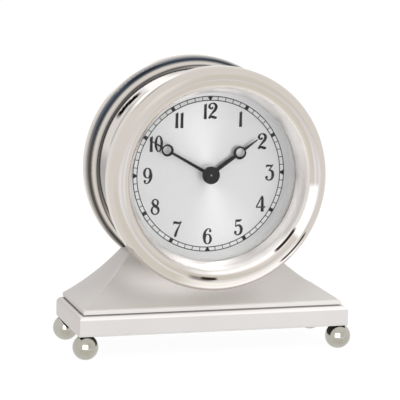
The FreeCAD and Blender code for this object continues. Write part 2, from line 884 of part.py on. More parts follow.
GEAR = {
    # name: (teeth, module)
    "centre_wheel": (64, 0.3),
    "third_pinion": (8, 0.3),
    "third_wheel": (60, 0.25),
    "fourth_pinion": (8, 0.25),
    "fourth_wheel": (50, 0.25),
    "fifth_pinion": (10, 0.25),
    "fifth_wheel": (60, 0.2),
    "rotor_pinion": (10, 0.2),
    "cannon_pinion": (12, 0.4),
    "minute_wheel": (36, 0.4),
    "minute_pinion": (10, 0.384),
    "hour_wheel": (40, 0.384),
    "setting_pinion": (12, 0.4),
}
LAYER = {
    # name: (front, back) along Y
    "hour_wheel": (-5.2, -4.5),
    "minute_pinion": (-5.3, -4.1),
    "minute_wheel": (-4.1, -3.4),
    "cannon_pinion": (-4.2, -3.3),
    "setting_pinion": (-4.2, -3.3),
    "centre_wheel": (-2.6, -1.9),
    "third_pinion": (-2.8, -1.2),
    "third_wheel": (-1.2, -0.5),
    "fourth_pinion": (-1.4, 0.2),
    "fourth_wheel": (0.2, 0.9),
    "fifth_pinion": (0.0, 1.6),
    "fifth_wheel": (1.6, 2.3),
    "rotor_pinion": (1.4, 2.5),
}
DIRECTION = {
    # the way, in degrees, from the wheel before
    "third": 150.0,
    "fourth": 70.0,
    "fifth": 20.0,
    "rotor": 0.0,
    "minute": -20.0,
    "setting": 60.0,
}


def pitch_radius(name):
    teeth, module = GEAR[name]
    return teeth * module / 2


def centre_distance(first, second):
    return pitch_radius(first) + pitch_radius(second)


CENTRE = (0.0, 0.0)
THIRD = along(CENTRE, centre_distance("centre_wheel", "third_pinion"), DIRECTION["third"])
FOURTH = along(THIRD, centre_distance("third_wheel", "fourth_pinion"), DIRECTION["fourth"])
FIFTH = along(FOURTH, centre_distance("fourth_wheel", "fifth_pinion"), DIRECTION["fifth"])
ROTOR = along(FIFTH, centre_distance("fifth_wheel", "rotor_pinion"), DIRECTION["rotor"])
MINUTE = along(CENTRE, centre_distance("cannon_pinion", "minute_wheel"), DIRECTION["minute"])
SETTING = along(MINUTE, centre_distance("minute_wheel", "setting_pinion"), DIRECTION["setting"])


SHAFTS = {
    # name: (place, shaft radius, front of the shaft, front of its pivot)
    "third_wheel": (THIRD, 0.6, -3.4, -4.4),
    "fourth_wheel": (FOURTH, 0.5, -2.0, -3.0),
    "fifth_wheel": (FIFTH, 0.5, -0.6, -1.6),
    "rotor": (ROTOR, 0.5, 1.0, 0.0),
}


def mate_phase(first, phase, second, degrees):
    """The angle of a tooth of the second gear, so that it meshes with the first.
    phase is the angle of a tooth of the first, degrees the way from the first to the second."""
    first_pitch = 360.0 / GEAR[first][0]
    second_pitch = 360.0 / GEAR[second][0]
    share = ((degrees - phase) % first_pitch) / first_pitch
    return degrees + 180.0 + (share + 0.5) * second_pitch


PHASE = {"centre_wheel": 0.0, "cannon_pinion": 0.0}
PHASE["third_pinion"] = mate_phase("centre_wheel", 0.0, "third_pinion", DIRECTION["third"])
PHASE["third_wheel"] = 0.0
PHASE["fourth_pinion"] = mate_phase("third_wheel", 0.0, "fourth_pinion", DIRECTION["fourth"])
PHASE["fourth_wheel"] = 0.0
PHASE["fifth_pinion"] = mate_phase("fourth_wheel", 0.0, "fifth_pinion", DIRECTION["fifth"])
PHASE["fifth_wheel"] = 0.0
PHASE["rotor_pinion"] = mate_phase("fifth_wheel", 0.0, "rotor_pinion", DIRECTION["rotor"])
PHASE["minute_wheel"] = mate_phase("cannon_pinion", 0.0, "minute_wheel", DIRECTION["minute"])
PHASE["minute_pinion"] = 0.0
PHASE["hour_wheel"] = mate_phase("minute_pinion", 0.0, "hour_wheel", DIRECTION["minute"] + 180.0)
PHASE["setting_pinion"] = mate_phase("minute_wheel", PHASE["minute_wheel"], "setting_pinion",
                                    DIRECTION["setting"])

ADDENDUM = 0.75
DEDENDUM = 1.05
TIP_SHARE = 0.16
PITCH_SHARE = 0.36
ROOT_SHARE = 0.50


def gear(name, place):
    """A toothed wheel with straight-flanked teeth, thin enough to run with backlash."""
    teeth, module = GEAR[name]
    radius = pitch_radius(name)
    tooth_pitch = 2 * math.pi / teeth
    corners = [
        (radius - DEDENDUM * module, -ROOT_SHARE),
        (radius, -PITCH_SHARE),
        (radius + ADDENDUM * module, -TIP_SHARE),
        (radius + ADDENDUM * module, TIP_SHARE),
        (radius, PITCH_SHARE),
        (radius - DEDENDUM * module, ROOT_SHARE),
    ]
    points = []
    front, back = LAYER[name]
    for tooth in range(teeth):
        middle = math.radians(PHASE[name]) + tooth * tooth_pitch
        for reach, share in corners:
            angle = middle + share * tooth_pitch / 2
            x = place[0] + reach * math.cos(angle)
            z = size("dial_height") + place[1] + reach * math.sin(angle)
            points.append(Vector(x, front, z))
    points.append(points[0])
    face = Part.Face(Part.makePolygon(points))
    thing = doc.addObject("Part::Feature", name + "_teeth")
    thing.Shape = face.extrude(Vector(0, back - front, 0))
    return thing


def tower(radius, place, front, back):
    """A rod along Y between two depths, at a place given from the dial's centre."""
    x, _, z = on_axis(place[0], 0, place[1])
    return plain_rod(radius, back - front, x, front, z)


def arbor(place, parts):
    """Steps of a shaft, each (radius, front, back), on one axis."""
    return [tower(radius, place, front, back) for radius, front, back in parts]


def shaft_of(name):
    """A wheel's shaft with its two pivots."""
    place, radius, front, pivot_front = SHAFTS[name]
    return arbor(place, [
        (radius, front, size("shoulder")),
        (size("pivot_radius"), pivot_front, size("bridge_back")),
    ])


def make_train():
    # minute hand's arbor with the cannon pinion and the flange of the slip clutch
    flange_front = LAYER["cannon_pinion"][1]
    flange_back = -size("clutch_flange_back")
    wheel_front, wheel_back = LAYER["centre_wheel"]
    end = size("arbor_end")
    node("minute_arbor", fuse(gear("cannon_pinion", CENTRE), *arbor(CENTRE, [
        (size("arbor_radius"), -size("hub_front") + size("arbor_recess"), end),
        (size("arbor_pivot_radius"), end, size("bridge_back")),
        (size("clutch_flange_radius"), flange_front, flange_back),
    ])))
    # the wheel turns loosely on the arbor, nipped between a washer and a collar
    x, y, z = on_axis(0, flange_back, 0)
    washer = rod(cell("clutch_washer_radius"), "%.3f" % (wheel_front - flange_back), x, y, z)
    node("clutch_washer", cut(washer, rod(cell("tube_bore"), "12", x, -6, z)))
    sleeve = rod(cell("clutch_collar_radius"), cell("clutch_sleeve"), x, wheel_back, z)
    node("centre_wheel", cut(fuse(gear("centre_wheel", CENTRE), sleeve),
                             rod(cell("tube_bore"), "12", x, -6, z)))
    collar = rod(cell("clutch_collar_radius"), cell("clutch_collar_thick"), x,
                 -size("clutch_collar_front"), z)
    node("clutch_collar", cut(collar, rod(cell("arbor_radius"), "12", x, -6, z)))
    for wheel, pinion in (("third_wheel", "third_pinion"), ("fourth_wheel", "fourth_pinion"),
                          ("fifth_wheel", "fifth_pinion")):
        place = SHAFTS[wheel][0]
        node(wheel, fuse(gear(pinion, place), gear(wheel, place), *shaft_of(wheel)))
    magnet = arbor(ROTOR, [(size("magnet_radius"), size("magnet_front"), size("magnet_back"))])
    node("rotor", fuse(gear("rotor_pinion", ROTOR), *shaft_of("rotor"), *magnet))


def make_motion_work():
    stub_hole = tower(size("stub_radius") + size("hole_gap"), MINUTE, -6, -2)
    node("minute_wheel", cut(fuse(gear("minute_wheel", MINUTE), gear("minute_pinion", MINUTE)), stub_hole))
    x, _, z = on_axis(0, 0, 0)
    tube = rod(cell("tube_radius"), less("hour_hand_front", "tube_back"), x, -size("hour_hand_front"), z)
    bore = rod(cell("tube_bore"), "12", x, -14, z)
    node("hour_wheel", cut(fuse(gear("hour_wheel", CENTRE), tube), bore))
    # setting knob, with a shaft through the back of the housing
    x, _, z = on_axis(SETTING[0], 0, SETTING[1])
    front = size("knob_front")
    thick = size("knob_thick")
    radius = size("knob_radius")
    circle = size("knob_grip_circle")
    knob = plain_rod(radius, thick, x, front, z)
    grips = []
    for step in range(24):
        angle = math.radians(15 * step)
        grips.append(plain_rod(size("knob_grip_radius"), thick + 1, x + circle * math.cos(angle),
                               front - 0.5, z + circle * math.sin(angle)))
    arrow = size("knob_gap")
    mark = block((x - arrow, x + arrow), (front + thick - arrow, front + thick + 1),
                 (z + radius / 4, z + radius - 1))
    shaft_front = -size("setting_shaft_front")
    shaft = arbor(SETTING, [
        (size("setting_shaft_radius"), shaft_front, front + 0.5),
        (size("setting_pivot_radius"), -size("setting_pivot_front"), shaft_front),
    ])
    node("setting_knob", fuse(gear("setting_pinion", SETTING), cut(knob, mark, *grips), *shaft))


# ---------------------------------------------------------------- hands

def hand_outline(which):
    """A needle hand pointing along +Z with an open circle and a round hub, as a flat face at Y = 0."""
    root = size(which + "_root") / 2
    half = size(which + "_stem") / 2
    tip = size("hand_tip") / 2
    length = size(which + "_length")
    middle = size(which + "_ring_centre")
    sides = [(-root, 0), (root, 0), (half, middle), (tip, length), (-tip, length), (-half, middle)]
    corners = [Vector(x, 0, z) for x, z in sides]
    needle = Part.Face(Part.makePolygon(corners + corners[:1]))

    def disc(radius, rise):
        circle = Part.makeCircle(size(which + radius), Vector(0, 0, rise), Vector(0, 1, 0))
        return Part.Face(Part.Wire(circle))

    # the eye sits a little nearer the tip, so the ring is thicker towards the hub
    ring = disc("_ring_outer", middle)
    eye = disc("_ring_inner", middle + size("eye_shift"))
    boss = disc("_hub_radius", 0)
    return needle.fuse([ring, boss]).cut(eye).removeSplitter()


def make_hand(name, face, front, bore, degrees):
    """Extrudes a hand, bores its hub and turns it clockwise to its place on the dial."""
    solid = face.extrude(Vector(0, size("hand_thick"), 0))
    hole = Part.makeCylinder(bore, 2, Vector(0, -0.5, 0), Vector(0, 1, 0))
    thing = doc.addObject("Part::Feature", name)
    thing.Shape = solid.cut(hole).removeSplitter()
    turn = FreeCAD.Rotation(Vector(0, 1, 0), degrees)
    thing.Placement = FreeCAD.Placement(Vector(0, -front, size("dial_height")), turn)
    node(name, thing)


def make_hands():
    gap = size("press_gap")
    make_hand("minute_hand", hand_outline("minute"), size("minute_hand_front"), size("arbor_radius") + gap,
              size("minute_hand_angle"))
    make_hand("hour_hand", hand_outline("hour"), size("hour_hand_front"), size("tube_radius") + gap,
              size("hour_hand_angle"))
    x, _, z = on_axis(0, 0, 0)
    front = -size("hub_front")
    cap = rod(cell("hub_radius"), less("hub_front", "minute_hand_front"), x, front, z)
    pocket = rod(cell("arbor_radius") + " + " + cell("press_gap"), "2", x, front + size("cap_pocket"), z)
    node("hub_cap", cut(cap, pocket))


# ---------------------------------------------------------------- movement housing

# posts inside the housing, as (X, rise) from the dial's centre
POSTS = [(-23.0, -8.5), (-23.0, 23.0), (-4.0, 24.0), (17.5, -9.3)]
CORE_POSTS = [(21.0, 9.2), (21.0, 23.2)]
BOARD_POSTS = [(22.6, -8.6), (22.6, 3.4)]


def span(low, high):
    """Limits along Z, given from the dial's centre."""
    return size("dial_height") + low, size("dial_height") + high


def make_housing():
    half = size("housing_half")
    wall = size("housing_wall")
    low = -size("housing_low")
    high = size("housing_high")
    front = -size("housing_front")
    split = size("housing_split")
    back = size("housing_back")
    floor = front + size("housing_face")
    lid = back - size("housing_lid")
    shake = size("end_shake")
    across = (-half + wall, half - wall)
    bay = span(-size("bay_wall_low"), -size("bay_wall_high"))
    x, _, z = on_axis(0, 0, 0)
    # front half: a tray with the centre bush, bearing bosses and posts
    tray = block((-half, half), (front, split), span(low, high))
    room = block(across, (floor, split + 1), span(low + wall, high - wall))
    bay_wall = block(across, (floor, split), bay)
    bush = rod(cell("bush_radius"), less("bush_front", "housing_front"), x, -size("bush_front"), z)
    boss = size("boss_radius")
    setting_front = -size("setting_shaft_front")
    towers = [
        tower(boss, SETTING, floor, setting_front - shake),
        tower(size("stub_radius"), MINUTE, floor, -size("stub_back")),
    ]
    holes = [
        rod(cell("bush_bore"), "12", x, -12, z),
        tower(size("setting_pivot_radius") + size("hole_gap"), SETTING,
              -size("setting_pivot_front") - shake, setting_front),
    ]
    for place, _, shaft_front, pivot_front in SHAFTS.values():
        towers.append(tower(boss, place, floor, shaft_front - shake))
        holes.append(tower(size("pivot_hole"), place, pivot_front - shake, shaft_front))
    for place in POSTS:
        towers.append(tower(size("post_radius"), place, floor, size("bridge_front")))
        holes.append(tower(size("post_screw_radius") + size("press_gap"), place, split - 1,
                           size("bridge_back")))
    towers += [tower(size("rest_radius"), place, floor, size("core_front")) for place in CORE_POSTS]
    towers += [tower(size("rest_radius"), place, floor, size("stator_front")) for place in BOARD_POSTS]
    node("movement_front_housing", cut(fuse(cut(tray, room), bay_wall, bush, *towers), *holes))
    # back half: a lid with the battery window and the hole for the setting shaft
    cap = block((-half, half), (split, back), span(low, high))
    inside = block(across, (split - 1, lid), span(low + wall, high - wall))
    partition = block(across, (split, lid), bay)
    window_half = size("bay_window_half")
    window = block((-window_half, window_half), (lid - 1, back + 1),
                   span(-size("bay_window_low"), -size("bay_window_high")))
    shaft_hole = tower(size("setting_shaft_radius") + 2 * size("pivot_gap"), SETTING, lid - 1, back + 1)
    node("movement_back_housing", cut(fuse(cut(cap, inside), partition), window, shaft_hole))


def make_bridge():
    front = size("bridge_front")
    back = size("bridge_back")
    through = (front - 1, back + 1)
    low = -size("bridge_low")
    right = size("bridge_right")
    plate = block((-size("bridge_left"), right), (front, back), span(low, size("bridge_high")))
    tab = block((right - 0.1, size("bridge_tab_right")), (front, back),
                span(low, -size("bridge_tab_high")))
    gap = size("pivot_gap")
    holes = [
        tower(size("arbor_pivot_radius") + gap, CENTRE, *through),
        tower(size("setting_shaft_radius") + 2 * gap, SETTING, *through),
    ]
    for place, _, _, _ in SHAFTS.values():
        holes.append(tower(size("pivot_hole"), place, *through))
    screw_hole = size("post_screw_radius") + size("pivot_gap") + size("press_gap")
    for place in POSTS:
        holes.append(tower(screw_hole, place, *through))
    node("train_bridge", cut(fuse(plate, tab), *holes))
    screws = []
    head_back = back + size("post_screw_head")
    slot_front = back + size("post_screw_head") / 2
    for place in POSTS:
        x, _, z = on_axis(place[0], 0, place[1])
        shank = tower(size("post_screw_radius"), place, size("post_screw_front"), back)
        head = tower(size("post_screw_head_radius"), place, back, head_back)
        slot = block((x - 2, x + 2), (slot_front, head_back + 1), (z - 0.15, z + 0.15))
        screws.append(cut(fuse(shank, head), slot))
    node("bridge_screws", group(*screws))


def make_mounting():
    """The washer behind the dial and the ring in front that clamp the movement to it."""
    x, _, z = on_axis(0, 0, 0)
    back = -size("dial_back")
    washer = rod(cell("washer_radius"), less("dial_back", "housing_front"), x, back, z)
    washer_hole = rod(cell("dial_bore"), "4", x, back - 1, z)
    node("dial_washer", cut(washer, washer_hole))
    front = -size("clamp_front")
    ring = rod(cell("clamp_radius"), cell("clamp_thick"), x, front, z)
    hole = rod(cell("clamp_bore"), "4", x, front - 1, z)
    reach = size("clamp_radius") + 1
    half = size("clamp_slot") / 2
    slot = block((x - reach, x + reach), (front - 1, front + size("clamp_slot_depth")),
                 (z - half, z + half))
    node("clamp_ring", cut(ring, hole, slot))


def make_electrics():
    # stator: a soft-iron plate round the rotor, open to the right, with a bar through the coil
    front = size("stator_front")
    back = front + size("stator_thick")
    through = (front - 1, back + 1)
    right = size("stator_right")
    plate = block((size("stator_left"), right), (front, back),
                  span(size("stator_low"), size("stator_high")))
    window = block((size("stator_window_left"), right + 1), through,
                   span(size("stator_window_low"), size("stator_window_high")))
    rotor_hole = tower(size("rotor_window"), ROTOR, *through)
    fifth_gap = tower(2 * SHAFTS["fifth_wheel"][1], FIFTH, *through)
    node("stator", cut(plate, window, rotor_hole, fifth_gap))
    # coil: the core's bar, a spool and its winding
    axis = size("coil_axis")
    half = size("coil_half")
    node("coil_core", block((axis - half, axis + half), (size("core_front"), front),
                            span(size("stator_low") + 0.3, size("stator_high") - 0.2)))
    x, y, z = on_axis(axis, size("coil_depth"), size("bobbin_low"))
    length = size("bobbin_length")
    flange = size("bobbin_flange")
    outer = size("bobbin_radius")
    tube = size("bobbin_tube_radius")
    gap = size("winding_gap")
    spool = fuse(
        plain_rod(tube, length, x, y, z, UPRIGHT),
        plain_rod(outer, flange, x, y, z, UPRIGHT),
        plain_rod(outer, flange, x, y, z + length - flange, UPRIGHT))
    node("coil_bobbin", cut(spool, plain_rod(size("bobbin_bore"), length + 2, x, y, z - 1, UPRIGHT)))
    node("coil_winding", cut(
        plain_rod(size("winding_radius"), length - 2 * flange - 2 * gap, x, y, z + flange + gap, UPRIGHT),
        plain_rod(tube + gap, length + 2, x, y, z - 1, UPRIGHT)))
    # circuit board with its chip and the quartz can
    board_back = front + size("board_thick")
    node("circuit_board", block((size("board_left"), size("board_right")), (front, board_back),
                                span(-size("board_low"), size("board_high"))))
    left = size("chip_left")
    side = size("chip_side")
    low = -size("chip_low")
    node("circuit_chip", block((left, left + side), (board_back, board_back + size("chip_thick")),
                               span(low, low + side)))
    radius = size("quartz_radius")
    x, y, z = on_axis(size("quartz_across"), board_back + radius, -size("quartz_low"))
    node("quartz_can", plain_rod(radius, size("quartz_length"), x, y, z, UPRIGHT))


def make_battery():
    _, y, z = on_axis(0, size("battery_depth"), -size("battery_drop"))
    left = -size("battery_length") / 2 - size("battery_shift")
    can = rod(cell("battery_radius"), cell("battery_length"), left, y, z, ALONG_X)
    nub = rod(cell("battery_nub_radius"), cell("battery_nub") + " + 0.5",
              left + size("battery_length") - 0.5, y, z, ALONG_X)
    node("battery", fuse(can, nub))
    # a contact at each end of the bay: a flat spring with a button
    inner = size("housing_half") - size("housing_wall")
    plate = size("contact_thick")
    deep = (y - size("contact_half_deep"), y + size("contact_half_deep"))
    high = (z - size("contact_half_high"), z + size("contact_half_high"))
    minus_end = size("minus_button_end")
    minus = fuse(
        block((-inner, -inner + plate), deep, high),
        plain_rod(size("minus_button_radius"), inner - minus_end - plate, -inner + plate, y, z, ALONG_X))
    node("battery_contact_minus", minus)
    plus_end = size("plus_button_end")
    plus = fuse(
        block((inner - plate, inner), deep, high),
        plain_rod(size("plus_button_radius"), inner - plate - plus_end, plus_end, y, z, ALONG_X))
    node("battery_contact_plus", plus)


make_bezel()
make_glazing()
barrel_turning = make_barrel()
make_dial()
make_back_cover()
make_plinth()
make_pedestal(barrel_turning)
make_feet()
make_felt()
make_base_screws()
make_train()
make_motion_work()
make_hands()
make_housing()
make_bridge()
make_mounting()
make_electrics()
make_battery()

doc.recompute()

for thing in doc.Objects:
    if "Invalid" in thing.State or "Error" in thing.State:
        raise RuntimeError("%s failed: %s" % (thing.Label, thing.State))
os.makedirs("parts", exist_ok=True)
for name, thing in NODES.items():
    shape = thing.Shape
    if shape.isNull() or not shape.isValid():
        raise RuntimeError(name + " has no valid shape")
for name, thing in NODES.items():
    thing.Shape.exportStep("parts/" + name + ".step")
    box = thing.Shape.BoundBox
    print("%-24s %2d solids %10.2f mm3  x %.1f..%.1f  y %.1f..%.1f  z %.1f..%.1f" % (
        name, len(thing.Shape.Solids), thing.Shape.Volume,
        box.XMin, box.XMax, box.YMin, box.YMax, box.ZMin, box.ZMax))
print(len(NODES), "nodes")
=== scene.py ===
"""Ship's deck clock: the looks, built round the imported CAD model.

Metres, in the CAD frame: +X to the viewer's right, +Y to the back, +Z up, the dial faces -Y.
"""
import json
import math

import bmesh
import bpy
from mathutils import Matrix, Vector
from mathutils.geometry import delaunay_2d_cdt


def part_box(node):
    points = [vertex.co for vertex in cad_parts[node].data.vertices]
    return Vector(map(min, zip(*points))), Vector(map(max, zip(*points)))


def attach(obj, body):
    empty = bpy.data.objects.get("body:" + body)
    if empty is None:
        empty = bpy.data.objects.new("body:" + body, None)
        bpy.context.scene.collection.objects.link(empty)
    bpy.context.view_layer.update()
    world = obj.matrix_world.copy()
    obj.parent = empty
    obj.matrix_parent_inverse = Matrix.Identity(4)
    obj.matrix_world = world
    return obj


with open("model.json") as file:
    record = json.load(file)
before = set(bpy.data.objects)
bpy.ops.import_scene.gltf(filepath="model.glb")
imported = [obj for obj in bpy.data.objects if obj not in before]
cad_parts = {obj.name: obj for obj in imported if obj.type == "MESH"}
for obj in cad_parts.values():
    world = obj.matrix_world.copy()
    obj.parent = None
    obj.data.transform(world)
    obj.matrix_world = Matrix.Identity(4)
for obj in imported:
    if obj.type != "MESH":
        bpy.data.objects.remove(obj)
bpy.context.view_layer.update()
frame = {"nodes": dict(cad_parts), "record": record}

MM = 0.001
DIAL_LOW, DIAL_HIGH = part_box("dial_plate")
DIAL_CENTRE = (DIAL_LOW + DIAL_HIGH) / 2
DIAL_FACE = DIAL_LOW.y
DIAL_Z = DIAL_CENTRE.z
DIAL_AXIS = (0.0, DIAL_Z)
FELT_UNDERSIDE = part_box("base_felt")[0].z
GROOVE_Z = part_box("plinth")[1].z + 0.35 * MM


# ---------------------------------------------------------------- shader building blocks

class Nodes:
    """Makes and links the nodes of one material or world."""

    def __init__(self, tree):
        self.tree = tree

    def node(self, kind, **inputs):
        made = self.tree.nodes.new(kind)
        for socket, value in inputs.items():
            self.plug(made.inputs[socket.replace("_", " ")], value)
        return made

    def plug(self, socket, value):
        if isinstance(value, bpy.types.NodeSocket):
            self.tree.links.new(value, socket)
        else:
            socket.default_value = value

    def sums(self, operation, *values):
        """One Math node."""
        made = self.tree.nodes.new("ShaderNodeMath")
        made.operation = operation
        for socket, value in zip(made.inputs, values):
            self.plug(socket, value)
        return made.outputs[0]

    def times(self, *factors):
        product = factors[0]
        for factor in factors[1:]:
            product = self.sums("MULTIPLY", product, factor)
        return product

    def near(self, value, middle, half, soft):
        """1 within half of the middle, fading to 0 over soft more."""
        off = self.sums("ABSOLUTE", self.sums("SUBTRACT", value, middle))
        fade = self.node("ShaderNodeMapRange", Value=off)
        fade.interpolation_type = "SMOOTHSTEP"
        fade.inputs["From Min"].default_value = half
        fade.inputs["From Max"].default_value = half + soft
        fade.inputs["To Min"].default_value = 1.0
        fade.inputs["To Max"].default_value = 0.0
        return fade.outputs[0]

    def mixed(self, share, first, second, blend="MIX"):
        """A blend of two colours, by a socket or a number."""
        mix = self.tree.nodes.new("ShaderNodeMix")
        mix.data_type = "RGBA"
        mix.blend_type = blend
        self.plug(mix.inputs[0], share)
        for socket, value in ((mix.inputs[6], first), (mix.inputs[7], second)):
            self.plug(socket, value if isinstance(value, bpy.types.NodeSocket) else (*value, 1))
        return mix.outputs[2]


class Shader(Nodes):
    """A material round one Principled BSDF. Sockets that are the same all over are set on it directly."""

    def __init__(self, name, **sockets):
        self.material = bpy.data.materials.new(name)
        self.material.use_nodes = True
        super().__init__(self.material.node_tree)
        self.surface = self.tree.nodes["Principled BSDF"]
        for socket, value in sockets.items():
            self.surface.inputs[socket.replace("_", " ")].default_value = value
        self.place = self.node("ShaderNodeTexCoord").outputs["Object"]

    def drive(self, socket, value):
        self.plug(self.surface.inputs[socket], value)

    def stretched(self, x=1.0, y=1.0, z=1.0):
        """Object coordinates scaled along each axis."""
        mapping = self.node("ShaderNodeMapping", Vector=self.place)
        mapping.inputs["Scale"].default_value = (x, y, z)
        return mapping.outputs[0]

    def noise(self, scale, detail=3.0, roughness=0.55, at=None):
        """Noise whose cells are about 1 / scale metres across."""
        made = self.node("ShaderNodeTexNoise", Vector=at or self.place, Scale=scale, Detail=detail,
                         Roughness=roughness)
        return made.outputs["Fac"]

    def spread(self, value, low, high, near=0.35, far=0.65):
        """Maps near..far, by default the middle of a noise, to low..high."""
        made = self.node("ShaderNodeMapRange", Value=value)
        made.inputs["From Min"].default_value = near
        made.inputs["From Max"].default_value = far
        made.inputs["To Min"].default_value = low
        made.inputs["To Max"].default_value = high
        return made.outputs[0]

    def ramp(self, value, stops, interpolation="LINEAR"):
        """A colour ramp through (position, colour) stops, in rising order."""
        made = self.node("ShaderNodeValToRGB", Fac=value)
        made.color_ramp.interpolation = interpolation
        elements = made.color_ramp.elements
        elements.remove(elements[-1])
        elements[0].position = stops[0][0]
        for position, _ in stops[1:]:
            elements.new(position)
        for element, (_, colour) in zip(elements, stops):
            element.color = (*colour, 1)
        return made.outputs["Color"]

    def colours(self, value, dark, light, near=0.35, far=0.65):
        """A colour ramp between two colours."""
        return self.ramp(value, [(near, dark), (far, light)])

    def bump(self, height, depth, strength=1.0, after=None):
        """Raises the surface by height times depth, in metres."""
        made = self.node("ShaderNodeBump", Height=height, Strength=strength, Distance=depth)
        if after is not None:
            self.plug(made.inputs["Normal"], after)
        return made.outputs["Normal"]

    def rings(self, centre):
        """The distance from an axis along Y, in metres, and the angle round it; centre is (X, Z)."""
        apart = self.node("ShaderNodeSeparateXYZ", Vector=self.place)
        x = self.sums("SUBTRACT", apart.outputs["X"], centre[0])
        z = self.sums("SUBTRACT", apart.outputs["Z"], centre[1])
        square = self.sums("ADD", self.times(x, x), self.times(z, z))
        return self.sums("SQRT", square), self.sums("ARCTAN2", x, z)

    def round_brushing(self, centre, lines_per_metre, arc_scale):
        """Brush marks that run in circles round an axis along Y."""
        radius, angle = self.rings(centre)
        along = self.node("ShaderNodeCombineXYZ", X=self.times(radius, lines_per_metre),
                          Y=self.times(angle, arc_scale))
        return self.noise(1.0, detail=4.0, roughness=0.7, at=along.outputs[0])

    def facing(self, angle, clockwise, half, soft):
        """1 within half of a direction on the clock face, in degrees clockwise from 12."""
        off = self.sums("COSINE", self.sums("SUBTRACT", angle, math.radians(clockwise)))
        fade = self.node("ShaderNodeMapRange", Value=off)
        fade.interpolation_type = "SMOOTHSTEP"
        fade.inputs["From Min"].default_value = math.cos(math.radians(half + soft))
        fade.inputs["From Max"].default_value = math.cos(math.radians(half))
        return fade.outputs[0]

    def mark(self, value, angle, share, at, half, soft, clockwise, half_turn, soft_turn):
        """A soft patch round value = at, in mm, and round a direction in degrees; 180 goes all round."""
        band = self.times(self.near(value, at * MM, half * MM, soft * MM), share)
        if half_turn < 180:
            band = self.times(band, self.facing(angle, clockwise, half_turn, soft_turn))
        return band


# ---------------------------------------------------------------- materials

NICKEL = (0.752, 0.698, 0.648)
CLOUDY_NICKEL = [channel * 0.985 for channel in NICKEL]
# the colours of painted highlights and of painted dark reflections
PAINTED_HIGHLIGHT_NICKEL = (1.0, 0.965, 0.94)
PAINTED_DARK_REFLECTION = (0.035, 0.018, 0.016)
WHITE = (1.0, 1.0, 1.0)
BLACK = (0.0, 0.0, 0.0)


def polished_nickel():
    """Plate polished on a mop: faint cloudiness, hairlines and a trace of ripple."""
    s = Shader("polished_nickel", Metallic=1.0, Roughness=0.07)
    cloud = s.noise(34.0, detail=2.0)
    s.drive("Base Color", s.colours(cloud, CLOUDY_NICKEL, NICKEL))
    hairs = s.noise(900.0, detail=5.0, roughness=0.7, at=s.stretched(1.0, 7.0, 2.0))
    s.drive("Roughness", s.spread(hairs, 0.045, 0.095))
    ripple = s.bump(s.noise(55.0, detail=1.0), 0.03 * MM, strength=0.5)
    s.drive("Normal", s.bump(hairs, 0.001 * MM, strength=0.5, after=ripple))
    return s.material


def turned_nickel(name="turned_nickel", shading=None):
    """Plate polished on the lathe: the hairlines run round the dial's axis."""
    s = Shader(name, Metallic=1.0, Roughness=0.06)
    colour = s.colours(s.noise(30.0, detail=2.0), CLOUDY_NICKEL, NICKEL)
    frost = 0.0
    # shading, where given, paints highlights and reflections into the colour and adds frost
    if shading:
        colour, frost = shading(s, colour)
    s.drive("Base Color", colour)
    marks = s.round_brushing(DIAL_AXIS, lines_per_metre=9000.0, arc_scale=2.5)
    s.drive("Roughness", s.sums("ADD", s.spread(marks, 0.035, 0.08), frost))
    s.drive("Normal", s.bump(marks, 0.0008 * MM, strength=0.5))
    return s.material


# Painted highlights and painted dark reflections on the bezel, set against the photo. Each row: share;
# radius, half width and softness in mm; direction clockwise from 12, half angle and softness in degrees.
BEZEL_PAINTED_HIGHLIGHTS = [
    (0.95, 48.0, 3.0, 1.2, 0, 180, 0),
    (1.0, 54.4, 2.0, 0.8, 110, 14, 4),
    (1.0, 51.2, 1.3, 0.9, 160, 30, 14),
    (1.0, 58.6, 1.5, 0.9, 164, 28, 14),
]
# a weak painted glow in the painted highlights
BEZEL_PAINTED_GLOW = [
    (0.11, 50.4, 1.4, 1.8, 20, 45, 30),
    (0.20, 54.4, 1.7, 0.8, 110, 13, 4),
    (0.24, 51.0, 1.0, 0.8, 158, 20, 12),
    (0.12, 58.8, 1.2, 0.9, 162, 22, 12),
]
# two dark streaks, painted as reflections
BEZEL_DARK_REFLECTION_STREAKS = [
    (0.995, 52.2, 0.4, 0.4, 132, 7, 4),
    (0.995, 58.5, 0.35, 0.4, 132, 8, 4),
]
# painted dark reflections: a ring along the crest, the streaks, and spots low on the bezel
BEZEL_PAINTED_DARK_REFLECTIONS = [
    (0.13, 55.95, 0.25, 0.45, 0, 110, 50),
    *BEZEL_DARK_REFLECTION_STREAKS,
    (0.25, 51.2, 0.3, 0.8, 236, 16, 14),
    (0.6, 55.4, 0.5, 1.0, 191, 3, 6),
    (0.98, 54.9, 0.5, 0.5, 186, 3, 3),
]
# the colour of the painted glow
PAINTED_GLOW_COLOUR = (1.0, 0.985, 0.965, 1)


